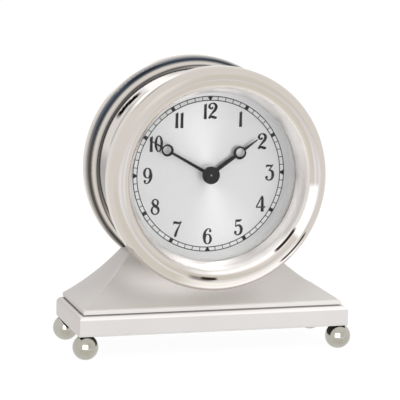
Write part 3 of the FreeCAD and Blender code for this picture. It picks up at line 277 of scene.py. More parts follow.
def bezel_shading(s, colour):
    """Painted stand-ins for reflections of the photo's studio: bright and dark places, a weak glow in the
    bright ones but not in the dark streaks, and a frosted inner slope."""
    radius, angle = s.rings(DIAL_AXIS)
    for marks, tint in ((BEZEL_PAINTED_HIGHLIGHTS, PAINTED_HIGHLIGHT_NICKEL), (BEZEL_PAINTED_DARK_REFLECTIONS, PAINTED_DARK_REFLECTION)):
        for row in marks:
            colour = s.mixed(s.mark(radius, angle, *row), colour, tint)
    # a painted glow, kept out of the painted dark streaks
    painted_glow = 0.0
    for row in BEZEL_PAINTED_GLOW:
        painted_glow = s.sums("MAXIMUM", painted_glow, s.mark(radius, angle, *row))
    for _, *row in BEZEL_DARK_REFLECTION_STREAKS:
        painted_glow = s.times(painted_glow, s.sums("SUBTRACT", 1.0, s.mark(radius, angle, 1.0, *row)))
    s.surface.inputs["Emission Color"].default_value = PAINTED_GLOW_COLOUR
    s.drive("Emission Strength", painted_glow)
    frost = s.times(s.near(radius, 49.0 * MM, 2.0 * MM, 1.5 * MM), 0.28)
    return colour, frost


# Painted reflections on the barrel, set to follow how bright it is along its length in the photo:
# (Y in mm, share of the plain plate).
BARREL_REFLECTION_BANDS = [
    (-12, 1.0), (8, 0.97), (10, 0.92), (12, 0.62), (13, 0.36), (14, 0.22), (16, 0.15), (17, 0.2),
    (18, 0.48), (19, 0.8), (20, 1.0), (21.3, 1.0), (22.0, 0.12), (23, 0.13), (24.2, 0.22), (26, 0.28),
    (26.9, 0.36), (27.5, 0.85), (28.2, 1.0), (34, 1.0),
]
# The painted blue reflection and the painted dark reflections: the same columns as the bezel's rows, with Y
# for the radius.
BARREL_BLUE_REFLECTION = (1.0, 24.5, 2.4, 0.6, 335, 34, 24)
BARREL_DARK_REFLECTIONS = [
    (0.6, 5.0, 9.0, 4.0, 264, 6, 16),
    (0.35, -2.0, 9.0, 3.0, 316, 5, 5),
    (0.45, -5.0, 1.0, 2.6, 305, 14, 8),
    (0.97, 25.9, 0.6, 0.7, 304, 5, 6),
    (0.8, 24.6, 1.4, 1.0, 330, 5, 8),
]
# the blue of the painted reflection at the top of the barrel
REFLECTED_BLUE = (0.55, 0.72, 1.0)
# a painted dark reflection on the barrel's left, a wisp, and how much it slants as it goes round
BARREL_WISP_REFLECTION = (1.0, 5.1, 1.6, 2.6, 311, 4, 7)
WISP_REFLECTION_SLANT = 8 * MM


def barrel_shading(s, colour):
    """Painted stand-ins for reflections of the photo's studio: dark bands along the barrel, a blue tint at
    the top, darker patches and a dark wisp on its left."""
    y = s.node("ShaderNodeSeparateXYZ", Vector=s.place).outputs["Y"]
    _, angle = s.rings(DIAL_AXIS)
    first, last = BARREL_REFLECTION_BANDS[0][0], BARREL_REFLECTION_BANDS[-1][0]
    stops = [((place - first) / (last - first), (level,) * 3) for place, level in BARREL_REFLECTION_BANDS]
    bands = s.ramp(s.spread(y, 0.0, 1.0, near=first * MM, far=last * MM), stops)
    tinted = s.mixed(1.0, bands, REFLECTED_BLUE, blend="MULTIPLY")
    level = s.mixed(s.mark(y, angle, *BARREL_BLUE_REFLECTION), bands, tinted)
    for row in BARREL_DARK_REFLECTIONS:
        level = s.mixed(s.mark(y, angle, *row), level, BLACK)
    # a painted dark reflection: the wisp slants as it goes round, and noise frays its edges
    fray = s.spread(s.noise(260.0, detail=2.0, at=s.stretched(1.0, 2.5, 1.0)), -1.2 * MM, 1.2 * MM)
    turn = s.sums("SUBTRACT", angle, math.radians(BARREL_WISP_REFLECTION[4] - 360))
    slanted = s.sums("ADD", y, s.times(turn, WISP_REFLECTION_SLANT))
    wisp_reflection = s.mark(s.sums("ADD", slanted, fray), angle, *BARREL_WISP_REFLECTION)
    level = s.mixed(s.times(wisp_reflection, 0.99), level, PAINTED_DARK_REFLECTION)
    s.drive("Specular Tint", s.mixed(s.times(wisp_reflection, 0.97), WHITE, BLACK))
    return s.mixed(1.0, colour, level, blend="MULTIPLY"), 0.0


def ball_nickel():
    """Polished balls, greyer than the case: the darker tone is painted shade, for the darker surroundings
    they reflect.
    """
    s = Shader("ball_nickel", Metallic=1.0, Roughness=0.05)
    cloud = s.noise(160.0, detail=3.0)
    s.drive("Base Color", s.colours(cloud, (0.50, 0.485, 0.43), (0.56, 0.545, 0.49)))
    hairs = s.noise(1500.0, detail=4.0, roughness=0.7)
    s.drive("Roughness", s.spread(hairs, 0.03, 0.07))
    s.drive("Normal", s.bump(hairs, 0.0008 * MM, strength=0.5))
    return s.material


def satin_nickel():
    """Plate spun with fine abrasive: clear circular marks."""
    s = Shader("satin_nickel", Metallic=1.0, Roughness=0.28, Anisotropic=0.6)
    marks = s.round_brushing(DIAL_AXIS, lines_per_metre=7000.0, arc_scale=1.2)
    s.drive("Base Color", s.colours(marks, (0.58, 0.55, 0.51), (0.70, 0.665, 0.62)))
    s.drive("Roughness", s.spread(marks, 0.22, 0.36))
    s.drive("Normal", s.bump(marks, 0.008 * MM, strength=0.6))
    radial = s.node("ShaderNodeTangent")
    radial.direction_type = "RADIAL"
    radial.axis = "Y"
    s.drive("Tangent", radial.outputs[0])
    return s.material


# painted shade on the left side, a painted reflected line, painted shade in the groove, and the painted
# glow's colour
LEFT_SIDE_SHADE_TAN = (0.56, 0.52, 0.495)
REFLECTED_LINE_COLOUR = (0.30, 0.25, 0.24)
REFLECTED_LINE_Z = 35.2 * MM
GROOVE_SHADE_COLOUR = (0.05, 0.035, 0.045)
PAINTED_LIGHT_COLOUR = (0.985, 0.965, 0.955, 1)


def light_under_case(s, x, y, z):
    """Painted light on the casting under the case, in place of what a white table throws back."""
    radius, _ = s.rings(DIAL_AXIS)
    beside_case = s.near(radius, 58 * MM, 4 * MM, 22 * MM)
    above_foot = s.spread(z, 0.0, 1.0, near=26.2 * MM, far=34 * MM)
    in_front = s.spread(y, 1.0, 0.0, near=-8 * MM, far=4 * MM)
    to_the_left = s.spread(x, 1.0, 0.5, near=-20 * MM, far=40 * MM)
    return s.times(beside_case, above_foot, in_front, to_the_left, 0.42)


def light_on_edges(s, y, z, sideways):
    """Painted highlights along the front, on the plinth's top edge and the casting's foot."""
    in_front = s.spread(y, 1.0, 0.0, near=-22.5 * MM, far=-20 * MM)
    not_left = s.spread(sideways, 0.0, 1.0, near=-0.6, far=-0.3)
    rim = s.times(s.near(z, GROOVE_Z - 1.3 * MM, 0.6 * MM, 0.6 * MM), 0.24)
    foot = s.times(s.near(z, GROOVE_Z + 1.6 * MM, 1.0 * MM, 0.4 * MM), 0.16)
    return s.times(s.sums("ADD", rim, foot), in_front, not_left)


def cast_nickel(name, dark, light):
    """Plate over a casting, satin finished along its length. Painted to match the photo: shade on its warmer
    left side, a thin reflected line, shade in the groove, and light under the case and along the front edges."""
    s = Shader(name, Metallic=0.3, Roughness=0.4)
    lines = s.noise(1.0, detail=4.0, roughness=0.7, at=s.stretched(160.0, 4200.0, 4200.0))
    plate = s.colours(s.noise(26.0, detail=2.0), dark, light)
    x, y, z = s.node("ShaderNodeSeparateXYZ", Vector=s.place).outputs
    faces = s.node("ShaderNodeNewGeometry").outputs["Normal"]
    sideways = s.node("ShaderNodeSeparateXYZ", Vector=faces).outputs["X"]
    # painted shade: faces turned to the left are darker and warmer
    left_side_shade = s.spread(sideways, 1.0, 0.0, near=-0.75, far=-0.2)
    plate = s.mixed(s.times(left_side_shade, 0.8), plate, LEFT_SIDE_SHADE_TAN)
    # a painted reflection: a thin darker line across the front
    in_front = s.spread(y, 1.0, 0.0, near=-22 * MM, far=-18 * MM)
    line = s.times(s.near(z, REFLECTED_LINE_Z, 0.2 * MM, 0.6 * MM), in_front, 0.3)
    plate = s.mixed(line, plate, REFLECTED_LINE_COLOUR)
    # painted shade in the groove between the plinth and the casting
    groove_shade = s.near(z, GROOVE_Z, 0.3 * MM, 0.2 * MM)
    s.drive("Base Color", s.mixed(s.times(groove_shade, 0.55), plate, GROOVE_SHADE_COLOUR))
    s.drive("Roughness", s.spread(lines, 0.36, 0.46))
    s.drive("Normal", s.bump(lines, 0.003 * MM, strength=0.4))
    # painted light: a weak glow under the case and along the front edges
    s.surface.inputs["Emission Color"].default_value = PAINTED_LIGHT_COLOUR
    painted_glow = s.sums("ADD", light_under_case(s, x, y, z), light_on_edges(s, y, z, sideways))
    s.drive("Emission Strength", painted_glow)
    return s.material


def silvered_dial():
    """A silvered plate brushed in circles under clear lacquer. The brighter fan up and down it is painted, in
    place of the sheen of circular brushing."""
    s = Shader("silvered_dial", Metallic=0.55, Roughness=0.34, Coat_Weight=0.1, Coat_Roughness=0.2)
    marks = s.round_brushing(DIAL_AXIS, lines_per_metre=5200.0, arc_scale=3.0)
    _, angle = s.rings(DIAL_AXIS)
    upright = s.sums("ABSOLUTE", s.sums("COSINE", s.sums("ADD", angle, math.radians(12))))
    fan = s.sums("POWER", upright, 8.0)
    plain = s.colours(marks, (0.75, 0.745, 0.755), (0.80, 0.795, 0.805))
    s.drive("Base Color", s.mixed(fan, plain, (0.93, 0.925, 0.94)))
    s.drive("Roughness", s.spread(marks, 0.3, 0.42))
    s.drive("Normal", s.bump(marks, 0.006 * MM, strength=0.4))
    return s.material


def printed_ink():
    """Black ink with a fine grain."""
    s = Shader("printed_ink", Roughness=0.42)
    grain = s.noise(4200.0, detail=2.0)
    s.drive("Base Color", s.colours(grain, (0.008, 0.0075, 0.009), (0.016, 0.015, 0.017)))
    s.drive("Roughness", s.spread(grain, 0.35, 0.5))
    s.drive("Normal", s.bump(grain, 0.004 * MM, strength=0.5))
    return s.material


def white_print():
    """The white ground under the minute track."""
    s = Shader("white_print", Roughness=0.5)
    grain = s.noise(3000.0, detail=2.0)
    s.drive("Base Color", s.colours(grain, (0.86, 0.86, 0.87), (0.95, 0.95, 0.955)))
    s.drive("Normal", s.bump(grain, 0.004 * MM, strength=0.5))
    return s.material


def black_enamel():
    """Matt black paint on stamped hands."""
    s = Shader("black_enamel", Roughness=0.42, Specular_IOR_Level=0.3)
    grain = s.noise(2600.0, detail=3.0)
    s.drive("Base Color", s.colours(grain, (0.010, 0.0085, 0.010), (0.020, 0.017, 0.019)))
    s.drive("Roughness", s.spread(grain, 0.34, 0.48))
    s.drive("Normal", s.bump(grain, 0.006 * MM, strength=0.5))
    return s.material


def clear_glass():
    """Clear glass with a trace of dust. Its low index keeps its own reflections faint."""
    s = Shader("clear_glass", Roughness=0.0, IOR=1.12, Transmission_Weight=1.0)
    dust = s.noise(380.0, detail=4.0)
    s.drive("Base Color", s.colours(dust, (0.985, 0.99, 0.99), WHITE))
    s.drive("Roughness", s.spread(dust, 0.0, 0.012, near=0.5, far=0.8))
    return s.material


def even_grain(name, dark, light, scale, depth, rough):
    """Rubber or moulded plastic with an even grain."""
    s = Shader(name, Roughness=rough)
    grain = s.noise(scale, detail=4.0, roughness=0.65)
    s.drive("Base Color", s.colours(grain, dark, light))
    s.drive("Roughness", s.spread(grain, rough - 0.07, rough + 0.07))
    s.drive("Normal", s.bump(grain, depth, strength=0.7))
    return s.material


def base_felt():
    """Black felt on a pale card, whose cut edge shows."""
    s = Shader("wool_felt", Roughness=0.92)
    grain = s.noise(1400.0, detail=4.0, roughness=0.65)
    felt = s.colours(grain, (0.006, 0.006, 0.007), (0.03, 0.03, 0.032))
    card = s.colours(grain, (0.66, 0.65, 0.63), (0.78, 0.77, 0.75))
    z = s.node("ShaderNodeSeparateXYZ", Vector=s.place).outputs["Z"]
    edge = s.spread(z, 0.0, 1.0, near=FELT_UNDERSIDE + 0.05 * MM, far=FELT_UNDERSIDE + 0.1 * MM)
    s.drive("Base Color", s.mixed(edge, felt, card))
    s.drive("Normal", s.bump(grain, 0.35 * MM, strength=0.7))
    return s.material


def cut_metal(name, dark, light, rough, metallic=1.0):
    """Machined or stamped metal with fine crossing marks."""
    s = Shader(name, Metallic=metallic, Roughness=rough)
    marks = s.noise(2600.0, detail=4.0, roughness=0.7, at=s.stretched(1.0, 0.25, 0.4))
    s.drive("Base Color", s.colours(marks, dark, light))
    s.drive("Roughness", s.spread(marks, rough - 0.08, rough + 0.1))
    s.drive("Normal", s.bump(marks, 0.006 * MM, strength=0.6))
    return s.material


def copper_winding():
    """Fine enamelled wire wound round a bobbin along Z."""
    s = Shader("copper_winding", Metallic=1.0, Roughness=0.25, Coat_Weight=0.6, Coat_Roughness=0.12)
    turns = s.node("ShaderNodeTexWave", Vector=s.place, Scale=900.0, Distortion=0.6)
    turns.bands_direction = "Z"
    wire = turns.outputs["Fac"]
    s.drive("Base Color", s.colours(wire, (0.28, 0.09, 0.035), (0.75, 0.33, 0.14), near=0.1, far=0.7))
    s.drive("Normal", s.bump(wire, 0.03 * MM))
    return s.material


STEEL = (0.62, 0.62, 0.6)
SLEEVE_BLACK = (0.022, 0.024, 0.03)
SLEEVE_COPPER = (0.62, 0.29, 0.12)


def battery_sleeve():
    """A plain dark printed sleeve with a copper-coloured end and bare steel terminals."""
    low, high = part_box("battery")
    s = Shader("battery_sleeve", Metallic=0.7, Roughness=0.3, Coat_Weight=0.5, Coat_Roughness=0.1)
    x = s.node("ShaderNodeSeparateXYZ", Vector=s.place).outputs["X"]
    share = s.sums("DIVIDE", s.sums("SUBTRACT", x, low.x), high.x - low.x)
    stops = [(0.0, STEEL), (0.012, SLEEVE_BLACK), (0.68, SLEEVE_COPPER), (0.965, STEEL)]
    s.drive("Base Color", s.ramp(share, stops, interpolation="CONSTANT"))
    s.drive("Roughness", s.spread(s.noise(1500.0), 0.24, 0.36))
    return s.material


def circuit_green():
    """Solder mask over copper tracks."""
    s = Shader("circuit_green", Roughness=0.35, Coat_Weight=0.4, Coat_Roughness=0.2)
    cells = s.node("ShaderNodeTexBrick", Vector=s.place, Scale=420.0, Color1=(0.012, 0.10, 0.045, 1),
                   Color2=(0.016, 0.12, 0.05, 1), Mortar=(0.03, 0.20, 0.08, 1), Mortar_Size=0.08)
    s.drive("Base Color", cells.outputs["Color"])
    s.drive("Normal", s.bump(cells.outputs["Fac"], 0.02 * MM))
    return s.material


MATERIALS = {
    "nickel": polished_nickel(),
    "turned": turned_nickel(),
    "bezel_plate": turned_nickel("bezel_plate", bezel_shading),
    "barrel_plate": turned_nickel("barrel_plate", barrel_shading),
    "satin_nickel": satin_nickel(),
    "cast": cast_nickel("cast_nickel", (0.625, 0.60, 0.58), (0.655, 0.635, 0.615)),
    # the plinth takes a lighter copy of the same plate: painted light on its brighter front
    "plinth_plate": cast_nickel("plinth_plate", (0.68, 0.655, 0.65), (0.71, 0.685, 0.68)),
    "ball": ball_nickel(),
    "ring_satin": cut_metal("ring_satin", (0.84, 0.835, 0.83), (0.90, 0.895, 0.89), rough=0.5, metallic=0.3),
    "silvered_dial": silvered_dial(),
    "black_enamel": black_enamel(),
    "glass": clear_glass(),
    "gasket": even_grain("gasket_rubber", (0.02, 0.02, 0.02), (0.035, 0.035, 0.034),
                         scale=2500.0, depth=0.01 * MM, rough=0.62),
    "felt": base_felt(),
    "screw_steel": cut_metal("screw_steel", (0.45, 0.45, 0.46), (0.62, 0.62, 0.62), rough=0.26),
    "gear_brass": cut_metal("gear_brass", (0.60, 0.42, 0.16), (0.78, 0.58, 0.26), rough=0.24),
    "magnet": cut_metal("sintered_magnet", (0.07, 0.07, 0.075), (0.14, 0.14, 0.15), rough=0.5, metallic=0.6),
    "soft_iron": cut_metal("soft_iron", (0.30, 0.30, 0.31), (0.44, 0.44, 0.45), rough=0.36),
    "copper_wire": copper_winding(),
    "black_plastic": even_grain("black_plastic", (0.014, 0.014, 0.015), (0.024, 0.024, 0.025),
                                scale=3600.0, depth=0.02 * MM, rough=0.48),
    "white_plastic": even_grain("white_plastic", (0.62, 0.61, 0.57), (0.72, 0.71, 0.67),
                                scale=3000.0, depth=0.01 * MM, rough=0.45),
    "board_green": circuit_green(),
    "battery_shell": battery_sleeve(),
    "ink": printed_ink(),
    "white_print": white_print(),
}
FINISHES = {
    "bezel": "bezel_plate",
    "case_barrel": "barrel_plate",
    "glass_retaining_ring": "turned",
    "reflector_ring": "ring_satin",
    "clamp_ring": "ring_satin",
    "ball_foot_front_left": "ball",
    "ball_foot_front_right": "ball",
    "ball_foot_rear_left": "ball",
    "ball_foot_rear_right": "ball",
    "plinth": "plinth_plate",
    "pedestal": "cast",
}


def paint(thing, material):
    thing.data.materials.clear()
    thing.data.materials.append(MATERIALS[material])


def dress_cad_nodes():
    """Every CAD node takes the finish of its slot, or the finer finish named for it."""
    for part in frame["record"]["subparts"]:
        name = part["node"]
        paint(frame["nodes"][name], FINISHES.get(name, part["material_slot"]))


# ---------------------------------------------------------------- flat print on the dial

def oval(centre, half_wide, half_tall, steps):
    """Points round an oval, anticlockwise."""
    angles = [2 * math.pi * step / steps for step in range(steps)]
    return [(centre[0] + half_wide * math.cos(a), centre[1] + half_tall * math.sin(a)) for a in angles]


def band(outside, inside):
    """Four-cornered patches between two closed lines that have the same number of points."""
    corners = zip(inside, outside, outside[1:] + outside[:1], inside[1:] + inside[:1])
    return [list(patch) for patch in corners]


def annulus(outer, inner, steps=240):
    """A round ring as patches."""
    return band(oval((0, 0), outer, outer, steps), oval((0, 0), inner, inner, steps))


def area(polygon):
    """Twice the signed area of a polygon."""
    pairs = zip(polygon, polygon[1:] + polygon[:1])
    return sum(a[0] * b[1] - b[0] * a[1] for a, b in pairs)


def add_piece(name, mesh, body, material):
    """Makes a bmesh into a painted object that rides a body."""
    bmesh.ops.recalc_face_normals(mesh, faces=mesh.faces)
    data = bpy.data.meshes.new(name)
    mesh.to_mesh(data)
    mesh.free()
    thing = bpy.data.objects.new(name, data)
    bpy.context.scene.collection.objects.link(thing)
    paint(thing, material)
    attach(thing, body)


# how delaunay_2d_cdt works: it keeps what lies inside the polygons, and joins points this close, in mm
INSIDE_ONLY = 1
WELD = 1e-5


def sheet(name, polygons, front, back, body, material):
    """The union of flat polygons, given in mm from the dial's centre, as a thin solid that rides a body."""
    points, faces = [], []
    for polygon in polygons:
        turned = polygon if area(polygon) > 0 else polygon[::-1]
        start = len(points)
        points += [Vector(p) for p in turned]
        faces.append(list(range(start, start + len(turned))))
    verts, _, triangles, _, _, origins = delaunay_2d_cdt(points, [], faces, INSIDE_ONLY, WELD)
    mesh = bmesh.new()
    fronts = [mesh.verts.new((v.x * MM, front, DIAL_Z + v.y * MM)) for v in verts]
    backs = [mesh.verts.new((v.x * MM, back, DIAL_Z + v.y * MM)) for v in verts]
    kept = [t for t, origin in zip(triangles, origins) if origin]
    for a, b, c in kept:
        mesh.faces.new((fronts[a], fronts[b], fronts[c]))
        mesh.faces.new((backs[c], backs[b], backs[a]))
    # an edge that no neighbour runs the other way lies on the outline, and gets a side wall
    edges = dict.fromkeys(pair for a, b, c in kept for pair in ((a, b), (b, c), (c, a)))
    for a, b in edges:
        if (b, a) not in edges:
            mesh.faces.new((fronts[b], fronts[a], backs[a], backs[b]))
    bmesh.ops.delete(mesh, geom=[v for v in mesh.verts if not v.link_faces], context="VERTS")
    add_piece(name, mesh, body, material)


# Each numeral is drawn with a broad pen in a box 9 mm tall that stands on y = 0. THICK, THIN and
# INK_SPREAD are widths in mm, and the three with BOLD in their names are factors.
NUMERAL_HEIGHT = 9.0
THICK = 1.25
THIN = 0.42
BOLD = 1.28
INK_SPREAD = 0.06
LOOP_BOLD_SIDES = 1.2
LOOP_BOLD_ENDS = 1.35


def spline(a, b, c, d, t):
    """A Catmull-Rom spline between b and c, at a share t of the way."""
    bend = (2 * a - 5 * b + 4 * c - d) * t ** 2
    return 0.5 * (2 * b + (c - a) * t + bend + (3 * b - a - 3 * c + d) * t ** 3)


def smooth_line(knots, steps=9):
    """A smooth line through knots (x, y, width)."""
    padded = [knots[0]] + list(knots) + [knots[-1]]
    line = []
    for k in range(1, len(padded) - 2):
        for step in range(steps):
            line.append(tuple(spline(*near, step / steps) for near in zip(*padded[k - 1:k + 3])))
    line.append(tuple(knots[-1]))
    return line


def stroke(knots, straight=False):
    """A pen stroke as four-cornered patches, end to end."""
    line = [tuple(k) for k in knots] if straight else smooth_line(knots)
    sides = []
    for k, (x, y, width) in enumerate(line):
        before = line[max(k - 1, 0)]
        after = line[min(k + 1, len(line) - 1)]
        dx, dy = after[0] - before[0], after[1] - before[1]
        length = math.hypot(dx, dy) or 1.0
        half = (width * BOLD + INK_SPREAD) / 2
        nx, ny = -dy / length * half, dx / length * half
        sides.append(((x + nx, y + ny), (x - nx, y - ny)))
    patches = []
    for (a, b), (c, d) in zip(sides, sides[1:]):
        patches.append([a, b, d, c])
    return patches


def ball(x, y, radius):
    """The round end of a stroke."""
    return [oval((x, y), radius, radius, 20)]


def digit_one():
    stem = stroke([(0.1, 0, THICK + 0.1), (0.1, 4.5, THICK - 0.1), (0.15, 8.3, THICK)], straight=True)
    flag = [[(-0.62, 7.55), (0.1, 7.2), (0.78, 8.2), (0.72, 9.1), (0.35, 8.75)]]
    return stem + flag


def digit_two():
    spiral = stroke([
        (-0.25, 6.9, 0.35), (-0.15, 6.35, 0.75), (-0.55, 5.85, 0.7), (-1.35, 5.95, 0.75),
        (-1.95, 6.85, 1.05), (-1.6, 8.1, 0.8), (-0.35, 8.85, 0.45), (1.15, 8.45, 0.9),
        (1.95, 7.1, THICK + 0.05), (1.45, 5.3, THICK), (0.0, 3.6, 0.9), (-1.45, 2.0, 0.5),
        (-2.25, 0.75, THIN)])
    foot = stroke([
        (-2.3, 0.35, 0.75), (-1.6, 1.0, 0.95), (-0.5, 1.35, 1.05), (0.7, 0.95, 1.2),
        (1.75, 0.75, 1.1), (2.35, 1.15, 0.5)])
    return spiral + foot


def digit_three():
    roof = stroke([
        (-2.0, 7.9, 0.9), (-1.3, 8.5, 0.95), (-0.3, 8.35, 0.85), (0.9, 8.35, 0.75), (2.0, 8.95, 0.3)])
    tail = [[(-2.35, 7.3), (-1.65, 7.7), (-1.3, 8.75), (-2.0, 8.6)]]
    slant = stroke([(1.9, 8.8, 0.35), (0.9, 7.4, 0.5), (-0.5, 5.6, 0.45)])
    bowl = stroke([
        (-0.5, 5.55, 0.35), (0.5, 5.75, 0.65), (1.6, 4.9, 1.1), (2.0, 3.0, THICK), (1.4, 0.95, 0.95),
        (0.0, 0.15, 0.5), (-1.4, 0.6, 0.6), (-2.0, 1.6, 0.75)])
    return roof + tail + slant + bowl + ball(-1.65, 1.85, 0.78)


def digit_four():
    slant = stroke([(0.75, 8.9, 0.55), (-2.55, 2.75, 0.55)], straight=True)
    bar = stroke([(-2.65, 2.6, 0.55), (2.6, 2.6, 0.55)], straight=True)
    serif = [[(1.9, 2.4), (2.75, 2.1), (2.75, 3.2), (1.9, 2.85)]]
    stem = stroke([(1.0, 0, THICK + 0.1), (1.0, 7.4, THICK - 0.15), (0.95, 9.15, 0.35)], straight=True)
    return slant + bar + serif + stem


def digit_five():
    flag = stroke([(-1.35, 8.35, 1.0), (-0.3, 8.25, 1.05), (0.9, 8.35, 0.95), (2.05, 8.95, 0.35)])
    upright = stroke([(-1.35, 8.7, 0.45), (-1.5, 5.2, 0.45)], straight=True)
    bowl = stroke([
        (-1.5, 4.7, 0.4), (-0.4, 5.6, 0.6), (1.0, 5.35, 1.0), (1.95, 3.6, THICK + 0.05), (1.55, 1.3, 1.05),
        (0.1, 0.15, 0.5), (-1.3, 0.55, 0.6), (-1.9, 1.5, 0.75)])
    return flag + upright + bowl + ball(-1.55, 1.75, 0.78)


def loop(x, y, wide, tall, thick, thin):
    """A closed oval stroke, thick at its sides."""
    steps = 48
    outside = oval((x, y), wide / 2, tall / 2, steps)
    inside = oval((x, y), wide / 2 - thick * LOOP_BOLD_SIDES, tall / 2 - thin * LOOP_BOLD_ENDS, steps)
    return band(outside, inside)


def digit_six():
    back = stroke([
        (1.55, 7.35, 0.7), (1.45, 8.45, 0.55), (0.35, 8.95, 0.42), (-1.1, 7.9, 0.85), (-1.95, 5.6, THICK),
        (-1.95, 3.2, THICK)])
    return back + loop(0, 3.05, 5.1, 6.1, THICK, 0.42) + ball(1.4, 7.55, 0.72)


def digit_seven():
    roof = stroke([
        (-2.1, 8.15, 1.0), (-1.1, 8.35, 1.05), (0.2, 7.95, 1.0), (1.4, 8.1, 0.7), (2.35, 8.95, 0.35)])
    tail = [[(-2.5, 7.0), (-1.95, 7.35), (-1.6, 8.7), (-2.3, 9.0)]]
    leg = stroke([(2.25, 8.8, 0.35), (1.1, 6.3, 0.55), (-0.3, 3.4, 0.95), (-1.15, 0.65, 1.2)])
    return roof + tail + leg + ball(-1.15, 0.62, 0.62)


def digit_eight():
    diagonal = stroke([
        (-1.75, 7.4, 0.9), (-1.05, 5.9, 1.15), (0.3, 4.75, 1.2), (1.6, 3.7, 1.15), (2.05, 2.2, 0.95)])
    return loop(0, 6.85, 4.3, 4.5, 0.95, 0.5) + loop(0, 2.6, 5.2, 5.35, 1.0, 0.5) + diagonal


def digit_nine():
    """A six turned upside down."""
    return [[(-x, NUMERAL_HEIGHT - y) for x, y in patch] for patch in digit_six()]


def digit_nought():
    return loop(0, 4.5, 4.9, 9.3, THICK, 0.42)


# how each digit is drawn, and its width in mm
DIGITS = {
    "0": (digit_nought, 5.3), "1": (digit_one, 2.4), "2": (digit_two, 5.2), "3": (digit_three, 5.0),
    "4": (digit_four, 5.4), "5": (digit_five, 4.9), "6": (digit_six, 5.1), "7": (digit_seven, 5.0),
    "8": (digit_eight, 5.2), "9": (digit_nine, 5.1),
}
NUMERAL_CIRCLE = 35.5
DIGIT_GAP = 0.55


def numeral(text, centre):
    """The digits of a number, side by side and upright, about a centre."""
    widths = [DIGITS[letter][1] for letter in text]
    total = sum(widths) + DIGIT_GAP * (len(text) - 1)
    patches = []
    left = centre[0] - total / 2
    for letter, width in zip(text, widths):
        middle = left + width / 2
        for patch in DIGITS[letter][0]():
            patches.append([(x + middle, y + centre[1] - NUMERAL_HEIGHT / 2) for x, y in patch])
        left += width + DIGIT_GAP
    return patches


def clock_direction(minutes):
    """Unit vector, as (X, up), that a hand points along."""
    angle = 2 * math.pi * minutes / 60
    return math.sin(angle), math.cos(angle)


# radii, widths and thicknesses of the print, in mm; a mark has a width at its inner and at its outer end
TRACK_OUTER = 43.8
TRACK_INNER = 41.5
TRACK_LINE = 0.5
QUARTER_MARK = (0.7, 3.3)
HOUR_MARK = (2.1, 2.1)
MINUTE_MARK = (0.42, 0.42)
WHITE_THICKNESS = 0.02
INK_THICKNESS = 0.05


def radial_block(minutes, inner_width, outer_width):
    """A four-cornered mark across the minute track that points at the centre."""
    x, y = clock_direction(minutes)
    marks = []
    for reach, half in ((TRACK_INNER, inner_width / 2), (TRACK_OUTER, outer_width / 2)):
        marks.append((x * reach - y * half, y * reach + x * half))
        marks.append((x * reach + y * half, y * reach - x * half))
    return [marks[0], marks[1], marks[3], marks[2]]


def print_dial():
    """The chapter ring and the numerals, as ink a few hundredths of a millimetre thick."""
    ground = DIAL_FACE - WHITE_THICKNESS * MM
    white = annulus(TRACK_OUTER, TRACK_INNER)
    sheet("minute_track_ground", white, ground, DIAL_FACE, "case", "white_print")
    ink = DIAL_FACE - INK_THICKNESS * MM
    black = annulus(TRACK_OUTER + TRACK_LINE / 2, TRACK_OUTER - TRACK_LINE / 2)
    black += annulus(TRACK_INNER + TRACK_LINE / 2, TRACK_INNER - TRACK_LINE / 2)
    for minute in range(60):
        mark = QUARTER_MARK if minute % 15 == 0 else HOUR_MARK if minute % 5 == 0 else MINUTE_MARK
        black.append(radial_block(minute, *mark))
    sheet("minute_track", black, ink, DIAL_FACE, "case", "ink")
    for hour in range(1, 13):
        x, y = clock_direction(hour * 5)
        patches = numeral(str(hour), (x * NUMERAL_CIRCLE, y * NUMERAL_CIRCLE))
        sheet("numeral_%d" % hour, patches, ink, DIAL_FACE, "case", "ink")


# ---------------------------------------------------------------- small details

def spun(name, profile, centre, body, material, steps):
    """A turned piece: profile points (y, radius) in mm about an axis along Y through centre (X, Z)."""
    mesh = bmesh.new()
    rings = []
    for y, radius in profile:
        if radius == 0:
            rings.append([mesh.verts.new((centre[0], y * MM, centre[1]))])
            continue
        points = oval(centre, radius * MM, radius * MM, steps)
        rings.append([mesh.verts.new((x, y * MM, z)) for x, z in points])
    for first, second in zip(rings, rings[1:]):
        for k in range(steps):
            after = (k + 1) % steps
            corners = [first[k % len(first)], first[after % len(first)], second[after % len(second)],
                       second[k % len(second)]]
            # at the pole two of the corners are the same point
            mesh.faces.new([c for i, c in enumerate(corners) if c not in corners[:i]])
    for face in mesh.faces:
        face.smooth = True
    add_piece(name, mesh, body, material)


def make_hub_pin():
    """The bright end of the arbor, showing as a dot in the middle of the hub cap."""
    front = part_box("hub_cap")[0].y / MM
    dome = [(front + 0.02, 0), (front + 0.02, 0.45), (front - 0.03, 0.42), (front - 0.10, 0.25),
            (front - 0.12, 0)]
    spun("hub_pin", dome, (DIAL_CENTRE.x, DIAL_Z), "minute_hand", "screw_steel", steps=24)


# ---------------------------------------------------------------- stage, light and camera

def panel(sky, direction, azimuth, elevation, half_wide, half_high, soft):
    """1 in a soft-edged window of the surroundings. Azimuth 0 is the front, + to the right; in degrees."""
    turn = math.radians(azimuth)
    x, y, z = direction
    ahead = sky.sums("SUBTRACT", sky.times(x, math.sin(turn)), sky.times(y, math.cos(turn)))
    aside = sky.sums("ADD", sky.times(x, math.cos(turn)), sky.times(y, math.sin(turn)))
    across = sky.sums("ARCTAN2", aside, ahead)
    above = sky.sums("ARCSINE", z)
    fade = math.radians(soft)
    return sky.times(sky.near(across, 0.0, math.radians(half_wide), fade),
                     sky.near(above, math.radians(elevation), math.radians(half_high), fade))


